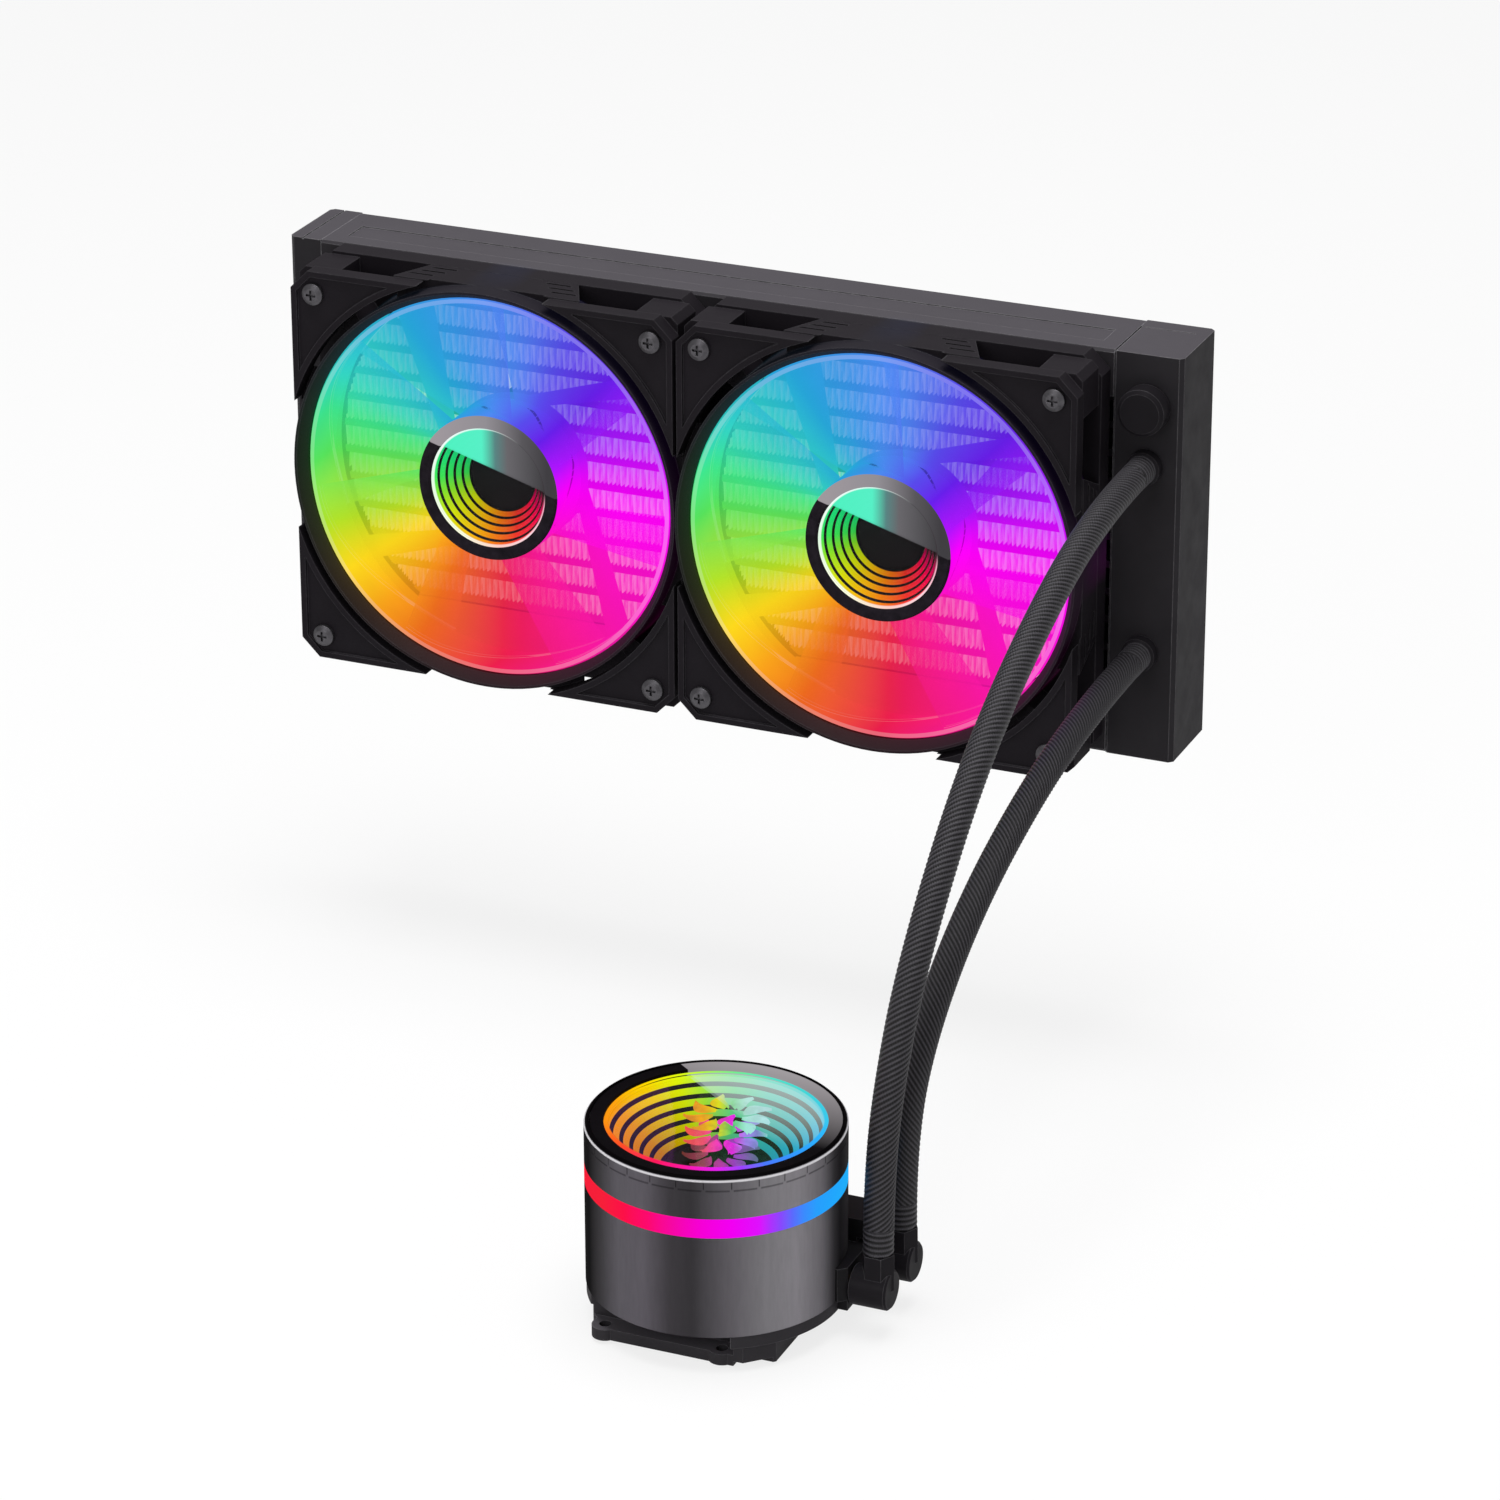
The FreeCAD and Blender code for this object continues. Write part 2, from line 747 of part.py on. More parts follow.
def bend_radius(before, corner, after):
    """The largest arc that BEND_SHARE of the shorter run allows at a corner of a route."""
    first, second = corner - before, after - corner
    half_turn = first.getAngle(second) / 2
    return BEND_SHARE * min(first.Length, second.Length) / math.tan(half_turn)


def route_path(route):
    """Straight runs joined by tangent arcs through a list of points."""
    spots = [Vector(value_of(PORT_X) + shift, y, z) for shift, y, z in route]
    edges = []
    last = spots[0]
    for before, corner, after in zip(spots, spots[1:], spots[2:]):
        radius = bend_radius(before, corner, after)
        TUBE_RADII.append(radius)
        into = (corner - before).normalize()
        out = (after - corner).normalize()
        half_turn = into.getAngle(out) / 2
        reach = radius * math.tan(half_turn)
        start, end = corner - into * reach, corner + out * reach
        to_centre = (out - into).normalize()
        middle = corner + to_centre * (radius / math.cos(half_turn) - radius)
        edges += [Part.LineSegment(last, start).toShape(), Part.Arc(start, middle, end).toShape()]
        last = end
    edges.append(Part.LineSegment(last, spots[-1]).toShape())
    return Part.Wire(edges), (spots[1] - spots[0]).normalize()


def hose(label, route):
    """A hose of even wall, swept along its route."""
    path, leaving = route_path(route)
    start = path.Vertexes[0].Point
    tubes = []
    for radius in (size("hose_radius"), size("hose_bore_radius")):
        ring = Part.Wire(Part.Circle(start, leaving, radius).toShape())
        tubes.append(path.makePipeShell([ring], True, False))
    shape = tubes[0].cut(tubes[1])
    section = math.pi * (size("hose_radius") ** 2 - size("hose_bore_radius") ** 2)
    print(f"{label}: length {path.Length:.1f}, volume {shape.Volume:.1f}, "
          f"section times length {section * path.Length:.1f}")
    return node(solid_feature(shape), label)


FAN_BORE = "(fan_size/2 - duct_inset - duct_wall)"


def fan_frame(number, x):
    """One fan's moulded frame: duct, flanges, corner posts, side flats, struts and motor base."""
    body = new_body()
    front = f"{FRONT} - fan_depth"
    plate_front = f"{front} + front_step"
    plate_rear = f"{plate_front} + front_flange"
    flange = f"{FRONT} - rear_flange"
    half = "fan_size/2 - flange_inset"
    duct = "(fan_size/2 - duct_inset)"
    pad(body, "y", front, FRONT, circles=[(0, 0, duct)])
    pad(body, "y", flange, FRONT, cut_square("fan_size/2", "fan_size/2", "corner_chamfer"))
    pad(body, "y", plate_front, plate_rear, cut_square(half, half, "corner_chamfer"))
    inner, outer = f"({duct} - 1)/sqrt(2)", HOLE_HEIGHT
    web, post = "web_thickness/2/sqrt(2)", "post_width/2"
    posts = pad(body, "y", plate_rear, flange, [
        (f"{inner} - {web}", f"{inner} + {web}"), (f"{inner} + {web}", f"{inner} - {web}"),
        (f"{outer}", f"{outer} - {post}"), (f"{outer} + {post}", f"{outer} - {post}"),
        (f"{outer} + {post}", f"{outer} + {post} - 2"), (f"{outer} + {post} - 2", f"{outer} + {post}"),
        (f"{outer} - {post}", f"{outer} + {post}"), (f"{outer} - {post}", f"{outer}")])
    around(body, [posts], "y", 4)
    flat_low = f"{FAN_BORE}/sqrt(2)"
    flats = pad(body, "z", flat_low, duct, [
        ("-flat_rear_half", flange), ("-flat_front_half", plate_rear),
        ("flat_front_half", plate_rear), ("flat_rear_half", flange)])
    around(body, [flats], "y", 4)
    slots = []
    for side in (-1, 1):
        for row in range(3):
            end = f"{side}*(flat_rear_half - 2 + {row}*slot_pitch*0.7)"
            start = f"{side}*(flat_rear_half - 2 + {row}*slot_pitch*0.7 - slot_length)"
            level = f"{flange} - 1.5 - {row}*slot_pitch"
            slots.append(pocket(body, "z", f"{duct} - slot_depth", f"{duct} + 1", [
                (start, level), (start, f"{level} - slot_width"),
                (f"{end} + {side}*slot_width", f"{level} - slot_width"), (end, level)]))
    around(body, slots, "y", 4)
    pocket(body, "y", front, FRONT, circles=[(0, 0, FAN_BORE)])
    spin(body, "y", [
        (f"{FAN_BORE} - 1", f"{front} + mouth_depth"), (FAN_BORE, f"{front} + mouth_depth"),
        (f"{FAN_BORE} + mouth_width", front), (f"{FAN_BORE} - 1", front)],
        "PartDesign::Groove")
    pocket(body, "y", plate_front, f"{plate_front} + groove_depth",
           circles=[(0, 0, duct), (0, 0, f"{duct} + groove_width")])
    rim = f"{half} - rim_width"
    arc = f"({duct} + groove_width + rim_width)"
    reach = f"sqrt({arc}*{arc} - ({rim})*({rim}))"
    panel = pocket(body, "y", plate_front, f"{plate_front} + rim_height", [
        (reach, rim), (f"{rim} - corner_chamfer*0.8", rim), (rim, f"{rim} - corner_chamfer*0.8"),
        (rim, reach)], arcs=(3,))
    around(body, [panel], "y", 4)
    holes = [(f"{a}*{HOLE_HEIGHT}", f"{b}*{HOLE_HEIGHT}", "screw_hole_radius")
             for a in (-1, 1) for b in (-1, 1)]
    pocket(body, "y", front, FRONT, circles=holes)
    strut = pad(body, "y", f"{FRONT} - strut_depth", FRONT, strut_outline("strut_end_half"))
    around(body, [strut], "y", 4)
    # The strut towards the upper left is wider, because the motor's cable runs along it.
    wide = [(f"-({z})", x) for x, z in strut_outline("cable_strut_end_half")]
    pad(body, "y", f"{FRONT} - strut_depth", FRONT, wide)
    pad(body, "y", f"{FRONT} - motor_base_thickness", FRONT, circles=[(0, 0, "motor_base_radius")])
    cup = "bearing_radius + bearing_cup_wall"
    cup_front = f"{FRONT} - bearing_floor - bearing_length"
    pad(body, "y", cup_front, FRONT, circles=[(0, 0, cup)])
    pocket(body, "y", cup_front, f"{FRONT} - bearing_floor", circles=[(0, 0, "bearing_radius")])
    place(body, x=x)
    return node(body, f"fan_{number}_frame")


def strut_outline(end_half):
    """A strut that leaves the motor base on one side and widens towards the duct."""
    root = "(motor_base_radius - 2.5)"
    reach = "(fan_size/2 - duct_inset - 1)"
    end_x, end_z = f"{reach}*cos(strut_end_angle)", f"{reach}*sin(strut_end_angle)"
    return [(0, f"{root} - strut_root_half"), (f"{end_x} + {end_half}*0.3", f"{end_z} - {end_half}"),
            (f"{end_x} - {end_half}*0.3", f"{end_z} + {end_half}"), (0, f"{root} + strut_root_half")]


def blade_edge(radius, lean, rear):
    """One long edge of a blade: a curve about the fan's axis that falls back as it turns."""
    sweep = math.radians(size("blade_sweep"))
    start = math.radians(size("blade_start") + lean)
    front = -size("blade_front") + rear
    spots = []
    for step in range(5):
        share = step / 4
        # The blade is steepest in its middle, as a cambered blade is.
        fall = size("blade_rise") * (share - 0.12 * math.sin(2 * math.pi * share))
        angle = start + sweep * share
        spots.append(Vector(radius * math.cos(angle), front + fall, radius * math.sin(angle)))
    curve = Part.BSplineCurve()
    curve.interpolate(spots)
    return curve.toShape()


def fan_blades():
    """Wide swept blades from the hub to the tip ring."""
    root = size("hub_radius") - size("hub_wall") / 2
    tip = value_of(FAN_BORE) - size("tip_clearance") - size("tip_ring_wall") / 2
    face = Part.makeRuledSurface(blade_edge(root, 0, 0), blade_edge(tip, size("blade_lean"), 0))
    blade = face.extrude(Vector(0, size("blade_thickness"), 0))
    count = int(size("blade_count"))
    blades = []
    for index in range(count):
        turned_blade = blade.copy()
        turned_blade.rotate(Vector(), Vector(0, 1, 0), 360 / count * index)
        blades.append(turned_blade)
    return solid_feature(Part.makeCompound(blades))


# Levels along Y inside a fan's hub
HUB_FRONT = "-hub_front"
LENS_REAR = "-hub_front + lens_thickness"
CHAMBER_REAR = "-hub_front + chamber_depth"
MIRROR_FRONT = "-hub_front + chamber_depth - mirror_thickness"
WEB_REAR = "-hub_front + chamber_depth + hub_web"
HUB_BORE = "hub_radius - hub_wall"


def fan_rotor(number, x):
    """Hub cup, blades and tip ring in one moulding."""
    tip_outer = f"{FAN_BORE} - tip_clearance"
    cup = turned("y", [
        (0, CHAMBER_REAR), (HUB_BORE, CHAMBER_REAR), (HUB_BORE, HUB_FRONT),
        ("hub_radius", HUB_FRONT), ("hub_radius", "-hub_rear"),
        (HUB_BORE, "-hub_rear"), (HUB_BORE, WEB_REAR), (0, WEB_REAR)])
    ring = turned("y", rectangle(f"{tip_outer} - tip_ring_wall", tip_outer,
                                 "-tip_ring_front", "-tip_ring_rear"))
    bore = rod("y", "shaft_radius", f"{CHAMBER_REAR} - 1", f"{WEB_REAR} + 1")
    rotor = cut(fused([cup, fan_blades(), ring]), [bore])
    place(rotor, x=x)
    return node(rotor, f"fan_{number}_rotor")


def fan_hub(number, x):
    """What turns with the rotor: the hub's bezel, lens, light ring and mirror."""
    lens_radius = f"{HUB_BORE} - 0.1"
    bezel_front = f"{HUB_FRONT} - bezel_thickness"
    bezel = turned("y", [
        ("hub_radius - bezel_width", HUB_FRONT), ("hub_radius - bezel_width", f"{bezel_front} + 0.4"),
        ("hub_radius - bezel_width + 0.5", bezel_front), ("hub_radius - 0.5", bezel_front),
        ("hub_radius", f"{bezel_front} + 0.5"), ("hub_radius", HUB_FRONT)])
    lens = turned("y", rectangle(0, lens_radius, HUB_FRONT, LENS_REAR))
    ring = turned("y", rectangle(f"{lens_radius} - light_ring_wall", lens_radius,
                                 LENS_REAR, MIRROR_FRONT))
    mirror = turned("y", rectangle(0, lens_radius, MIRROR_FRONT, CHAMBER_REAR))
    for body, piece in ((bezel, "hub_bezel"), (lens, "hub_lens"), (ring, "hub_light_ring"),
                        (mirror, "hub_mirror")):
        place(body, x=x)
        node(body, f"fan_{number}_{piece}")


def fan_motor(number, x):
    """The drive behind the hub: shaft, bearing, magnet ring, stator and circuit board."""
    floor = f"{FRONT} - bearing_floor"
    shaft = rod("y", "shaft_radius", CHAMBER_REAR, f"{floor} - 0.3")
    bearing = turned("y", rectangle("shaft_radius + shaft_clearance", "bearing_radius",
                                    f"{floor} - bearing_length", floor))
    magnet = turned("y", rectangle(f"{HUB_BORE} - magnet_wall", HUB_BORE,
                                   WEB_REAR, f"{WEB_REAR} + magnet_length"))
    cup = "bearing_radius + bearing_cup_wall"
    base_front = f"{FRONT} - motor_base_thickness"
    board_front = f"{base_front} - fan_board_thickness"
    board = turned("y", rectangle(cup, "motor_base_radius - 4", board_front, base_front))
    stator = stator_core("y", cup, f"{HUB_BORE} - magnet_wall - stator_clearance",
                         f"{board_front} - stator_thickness", board_front, "pole_width")
    for item, piece in ((shaft, "shaft"), (bearing, "bearing"), (magnet, "magnet_ring"),
                        (stator, "stator"), (board, "circuit_board")):
        place(item, x=x)
        node(item, f"fan_{number}_{piece}")


def stator_core(axis, bore, radius, low, high, width):
    """A ring with T-shaped poles, wound between its ring and its pole shoes."""
    body = new_body()
    pad(body, axis, low, high, circles=[(0, 0, bore), (0, 0, f"{bore} + 2")])
    shoe = f"{radius} - 2"
    pole = pad(body, axis, low, high, [
        (f"{bore} + 1", f"-{width}/2"), (shoe, f"-{width}/2"), (shoe, f"-{width}*1.2"),
        (radius, f"-{width}*0.7"), (radius, f"{width}*0.7"), (shoe, f"{width}*1.2"),
        (shoe, f"{width}/2"), (f"{bore} + 1", f"{width}/2")])
    around(body, [pole], axis, "stator_poles")
    return body


def fan_screws():
    """The long screws that hold both fans to the radiator, with crossed recesses."""
    seat = f"{FRONT} - fan_depth + front_step + rim_height"
    head = f"{seat} - screw_head_height"
    tip = f"{FRONT} + screw_reach"
    screws = []
    for column in (f"-({HOLE_OUTER})", f"-({HOLE_INNER})", HOLE_INNER, HOLE_OUTER):
        for row in (f"-{HOLE_HEIGHT}", HOLE_HEIGHT):
            body = turned("y", [
                (0, head), ("screw_head_radius*0.6", head), ("screw_head_radius", f"{head} + 0.9"),
                ("screw_head_radius", seat), ("screw_radius", seat), ("screw_radius", tip), (0, tip)])
            long_half, thin_half = "cross_length/2", "cross_width/2"
            pocket(body, "y", head, f"{head} + cross_depth", [
                (f"-{long_half}", f"-{thin_half}"), (f"-{thin_half}", f"-{thin_half}"),
                (f"-{thin_half}", f"-{long_half}"), (thin_half, f"-{long_half}"),
                (thin_half, f"-{thin_half}"), (long_half, f"-{thin_half}"),
                (long_half, thin_half), (thin_half, thin_half), (thin_half, long_half),
                (f"-{thin_half}", long_half), (f"-{thin_half}", thin_half),
                (f"-{long_half}", thin_half)])
            screws.append(place(body, x=column, z=row))
    return node(group(screws), "fan_screws")


# Levels along Z inside the pump block, from its bottom up
BASE_TOP = "pump_bottom + base_height"
RIM_TOP = "pump_bottom + base_height + base_rim_height"
PLATE_TOP = "pump_bottom - cold_plate_proud + cold_plate_thickness"
GASKET_TOP = f"{PLATE_TOP} + gasket_thickness"
JET_BOTTOM = f"{PLATE_TOP} + micro_fin_height"
JET_TOP = f"{JET_BOTTOM} + jet_plate_thickness"
HOUSING_TOP = f"{RIM_TOP} + housing_height"
VOLUTE_TOP = f"{RIM_TOP} + volute_height"
SHELL_TOP = f"{RIM_TOP} + shell_height"
BAND_TOP = f"{SHELL_TOP} + band_height"
PUMP_TOP = f"{BAND_TOP} + upper_shell_height"
BEZEL_BOTTOM = f"{PUMP_TOP} - 0.3 - mirror_bezel_thickness"
GLASS_BOTTOM = f"{BEZEL_BOTTOM} - glass_thickness"
BACK_MIRROR_TOP = f"{GLASS_BOTTOM} - tunnel_depth"
BACK_MIRROR_BOTTOM = f"{BACK_MIRROR_TOP} - back_mirror_thickness"
SHELL_BORE = "pump_radius - shell_wall"
TUNNEL_RADIUS = f"{SHELL_BORE} - 0.8"
BOARD_TOP = f"{BACK_MIRROR_BOTTOM} - tunnel_ledge"
BOARD_BOTTOM = f"{BOARD_TOP} - board_thickness"
AXLE = "pump_bottom + elbow_height"
BLOCK_REACH = "(pump_radius + block_proud)"
HOOD_REACH = "(pump_radius + hood_proud)"
BLOCK_START = "(pump_radius - block_inset)"
HOOD_START = "(pump_radius - hood_inset)"
RECESS_END = "ear_offset + ear_spacing_x/2 + ear_radius + 0.6"


def at_pump(item, label):
    place(item, x="pump_x", y="pump_y")
    return node(item, label)


def plate_screw_spots():
    return [(f"{a}*plate_screw_reach", f"{b}*plate_screw_reach") for a in (-1, 1) for b in (-1, 1)]


def cold_plate():
    """The copper plate that sits on the processor, with its micro fins on the water side."""
    body = new_body()
    bottom = "pump_bottom - cold_plate_proud"
    pad(body, "z", bottom, PLATE_TOP,
        cut_square("cold_plate_half", "cold_plate_half", "cold_plate_corner"))
    first = "-micro_fin_pitch*(micro_fin_count - 1)/2 - micro_fin_thickness/2"
    fin = pad(body, "z", PLATE_TOP, JET_BOTTOM, rectangle(
        first, f"{first} + micro_fin_thickness", "-micro_fin_half", "micro_fin_half"))
    along(body, [fin], "x", "micro_fin_pitch*(micro_fin_count - 1)", "micro_fin_count")
    pocket(body, "z", bottom, PLATE_TOP,
           circles=[(x, y, "plate_screw_radius") for x, y in plate_screw_spots()])
    pocket(body, "z", bottom, f"{bottom} + 1.2",
           circles=[(x, y, "plate_screw_head") for x, y in plate_screw_spots()])
    return at_pump(body, "cold_plate")


def plate_screws():
    bottom = "pump_bottom - cold_plate_proud"
    screws = []
    for x, y in plate_screw_spots():
        body = turned("z", [
            (0, f"{bottom} + 0.2"), ("plate_screw_head - 0.1", f"{bottom} + 0.2"),
            ("plate_screw_head - 0.1", f"{bottom} + 1.2"), ("plate_screw_radius - 0.05", f"{bottom} + 1.2"),
            ("plate_screw_radius - 0.05", f"{bottom} + plate_screw_length"),
            (0, f"{bottom} + plate_screw_length")])
        screws.append(place(body, x=x, y=y))
    return at_pump(group(screws), "cold_plate_screws")


def pump_gasket():
    body = turned("z", rectangle("gasket_outer - gasket_width", "gasket_outer",
                                 PLATE_TOP, GASKET_TOP))
    return at_pump(body, "cold_plate_gasket")


def jet_plate():
    """Leads the water through its slot onto the middle of the micro fins."""
    body = new_body()
    pad(body, "z", JET_BOTTOM, JET_TOP, circles=[(0, 0, "water_radius - jet_clearance")])
    pocket(body, "z", JET_BOTTOM, JET_TOP, rectangle(
        "-micro_fin_half*0.8", "micro_fin_half*0.8", "-jet_slot_width/2", "jet_slot_width/2"))
    return at_pump(body, "jet_plate")


def pump_base():
    """The base: a square foot with cut corners, a round rim, four ears and its water chamber."""
    body = new_body()
    pad(body, "z", "pump_bottom", BASE_TOP,
        cut_square("base_half_x", "base_half_y", "base_corner"))
    pad(body, "z", BASE_TOP, RIM_TOP, circles=[(0, 0, "pump_radius - base_rim_inset")])
    ear_top = "pump_bottom + ear_thickness"
    ears = [(f"ear_offset + {a}*ear_spacing_x/2", f"{b}*ear_spacing_y/2")
            for a in (-1, 1) for b in (-1, 1)]
    # Above the ears the foot's side is cut back, so that screws can be reached from above.
    for side in (-1, 1):
        pocket(body, "z", ear_top, RIM_TOP, rectangle(
            "-pump_radius", RECESS_END,
            *sorted_pair(side, "ear_spacing_y/2 - ear_radius", "pump_radius")))
        pocket(body, "z", "pump_bottom", "pump_bottom + corner_rise", rectangle(
            RECESS_END, "base_half_x + 1", *sorted_pair(side, "cold_plate_half", "base_half_y + 1")))
    for ear_x, ear_y in ears:
        pad(body, "z", "pump_bottom", ear_top, circles=[(ear_x, ear_y, "ear_radius")])
    pocket(body, "z", "pump_bottom", ear_top,
           circles=[(ear_x, ear_y, "ear_hole_radius") for ear_x, ear_y in ears])
    pocket(body, "z", "pump_bottom", PLATE_TOP,
           cut_square("cold_plate_half", "cold_plate_half", "cold_plate_corner"))
    pocket(body, "z", PLATE_TOP, GASKET_TOP, circles=[(0, 0, "gasket_outer")])
    pocket(body, "z", GASKET_TOP, JET_TOP, circles=[(0, 0, "water_radius")])
    pocket(body, "z", JET_TOP, RIM_TOP, circles=[(0, 0, "volute_radius - 2")])
    pocket(body, "z", PLATE_TOP, "pump_bottom - cold_plate_proud + plate_screw_length",
           circles=[(x, y, "plate_screw_radius") for x, y in plate_screw_spots()])
    return at_pump(body, "pump_base")


def sorted_pair(side, near, far):
    return (near, far) if side > 0 else (f"-({far})", f"-({near})")


def pump_housing():
    """The moulded water housing with its port block, cable hood, can and board posts."""
    body = new_body()
    pad(body, "z", RIM_TOP, HOUSING_TOP, circles=[(0, 0, "housing_radius")])
    pad(body, "z", "pump_bottom + block_bottom", "pump_bottom + block_top", [
        (BLOCK_START, "-block_front"), (f"{BLOCK_REACH} - block_corner", "-block_front"),
        (BLOCK_REACH, "-block_front + block_corner"), (BLOCK_REACH, "block_rear - block_corner"),
        (f"{BLOCK_REACH} - block_corner", "block_rear"), (BLOCK_START, "block_rear")])
    pad(body, "z", "pump_bottom + block_bottom - lip_height", "pump_bottom + block_bottom", rectangle(
        "pump_radius - 0.1", BLOCK_REACH, "-block_front + block_corner", "block_rear - block_corner"))
    pad(body, "z", "pump_bottom + block_top", "pump_bottom + hood_top", rectangle(
        HOOD_START, f"{HOOD_REACH} - slot_depth", "hood_front", "hood_rear"))
    pad(body, "z", "pump_bottom + hood_bottom", "pump_bottom + hood_top", rectangle(
        HOOD_START, HOOD_REACH, "hood_front", "hood_rear"))
    pad(body, "z", HOUSING_TOP, f"{VOLUTE_TOP} + can_height", circles=[(0, 0, "can_radius + can_wall")])
    for angle in (90, 210, 330):
        spot = (f"board_post_reach*cos({angle})", f"board_post_reach*sin({angle})")
        pad(body, "z", HOUSING_TOP, BOARD_BOTTOM, circles=[(*spot, "board_post_radius")])
    pocket(body, "z", RIM_TOP, VOLUTE_TOP, circles=[(0, 0, "volute_radius")])
    pocket(body, "z", VOLUTE_TOP, f"{VOLUTE_TOP} + can_height - can_wall", circles=[(0, 0, "can_radius")])
    passage = "spigot_bore_radius"
    turn_x = "volute_radius*0.35"
    pocket(body, "x", "volute_radius - 4", BLOCK_REACH, circles=[("elbow_front_offset", AXLE, passage)])
    pocket(body, "x", turn_x, BLOCK_REACH, circles=[("elbow_rear_offset", AXLE, passage)])
    pocket(body, "y", "volute_radius - 3", f"elbow_rear_offset + {passage} + 0.3",
           circles=[(turn_x, AXLE, f"{passage} + 0.3")])
    for offset in ("elbow_front_offset", "elbow_rear_offset"):
        pocket(body, "x", f"{BLOCK_REACH} - spigot_depth", BLOCK_REACH,
               circles=[(offset, AXLE, "spigot_radius")])
    return at_pump(body, "pump_housing")


def impeller():
    """The impeller and the magnet that turns it, on a fixed ceramic shaft."""
    low = f"{RIM_TOP} + impeller_gap"
    disc = f"{low} + vane_height"
    body = new_body()
    pad(body, "z", disc, f"{disc} + impeller_disc", circles=[(0, 0, "impeller_radius")])
    pad(body, "z", low, f"{VOLUTE_TOP} + can_height - can_wall - 1",
        circles=[(0, 0, "rotor_magnet_radius*0.55")])
    pad(body, "z", VOLUTE_TOP, f"{VOLUTE_TOP} + can_height - can_wall - 1",
        circles=[(0, 0, "rotor_magnet_radius")])
    vane = pad(body, "z", low, f"{disc} + impeller_disc/2", [
        ("3", "-0.6"), ("impeller_radius*0.95", "-2.6"), ("impeller_radius*0.97", "-1.6"), ("3", "0.6")])
    around(body, [vane], "z", "impeller_vanes")
    pocket(body, "z", low, f"{VOLUTE_TOP} + can_height - can_wall - 1",
           circles=[(0, 0, "pump_shaft_radius + shaft_clearance")])
    at_pump(body, "impeller")
    shaft = rod("z", "pump_shaft_radius", JET_TOP, f"{VOLUTE_TOP} + can_height - can_wall")
    return at_pump(shaft, "impeller_shaft")


def pump_electrics():
    """The stator round the can, and the circuit board that lights and drives the pump."""
    stator = stator_core("z", "can_radius + can_wall", "pump_stator_radius", HOUSING_TOP,
                         f"{HOUSING_TOP} + pump_stator_thickness", "pump_pole_width")
    at_pump(stator, "pump_stator")
    board = rod("z", "board_radius", BOARD_BOTTOM, BOARD_TOP)
    at_pump(board, "pump_circuit_board")


def pump_shells():
    """The round outer shell in three rings: lower shell, light band and upper shell."""
    lower = new_body()
    pad(lower, "z", RIM_TOP, SHELL_TOP, circles=[(0, 0, "pump_radius"), (0, 0, SHELL_BORE)])
    pocket(lower, "z", RIM_TOP, "pump_bottom + block_top", rectangle(
        BLOCK_START, "pump_radius + 1", "-block_front", "block_rear"))
    pocket(lower, "z", "pump_bottom + block_top", "pump_bottom + hood_top", rectangle(
        HOOD_START, "pump_radius + 1", "hood_front", "hood_rear"))
    at_pump(lower, "lower_shell")
    band = turned("z", rectangle(SHELL_BORE, "pump_radius", SHELL_TOP, BAND_TOP))
    at_pump(band, "light_band")
    seat = "pump_radius - rim_chamfer - 0.6"
    upper = turned("z", [
        (SHELL_BORE, BAND_TOP), ("pump_radius", BAND_TOP),
        ("pump_radius", f"{PUMP_TOP} - rim_chamfer"), ("pump_radius - rim_chamfer", PUMP_TOP),
        (seat, PUMP_TOP), (seat, GLASS_BOTTOM), (SHELL_BORE, GLASS_BOTTOM)])
    at_pump(upper, "upper_shell")


def pump_mirror():
    """The mirror tunnel on top: bezel, front glass, light tunnel and back mirror."""
    seat = "pump_radius - rim_chamfer - 0.7"
    bezel = turned("z", rectangle(f"{seat} - mirror_bezel_width", seat, BEZEL_BOTTOM,
                                  f"{BEZEL_BOTTOM} + mirror_bezel_thickness"))
    at_pump(bezel, "mirror_bezel")
    glass = rod("z", seat, GLASS_BOTTOM, BEZEL_BOTTOM)
    at_pump(glass, "front_mirror")
    bore = f"{TUNNEL_RADIUS} - tunnel_wall"
    tunnel = turned("z", [
        (f"{bore} - tunnel_ledge", BOARD_TOP), (TUNNEL_RADIUS, BOARD_TOP),
        (TUNNEL_RADIUS, GLASS_BOTTOM), (bore, GLASS_BOTTOM), (bore, BACK_MIRROR_BOTTOM),
        (f"{bore} - tunnel_ledge", BACK_MIRROR_BOTTOM)])
    at_pump(tunnel, "light_tunnel")
    back = rod("z", f"{bore} - 0.1", BACK_MIRROR_BOTTOM, BACK_MIRROR_TOP)
    at_pump(back, "back_mirror")


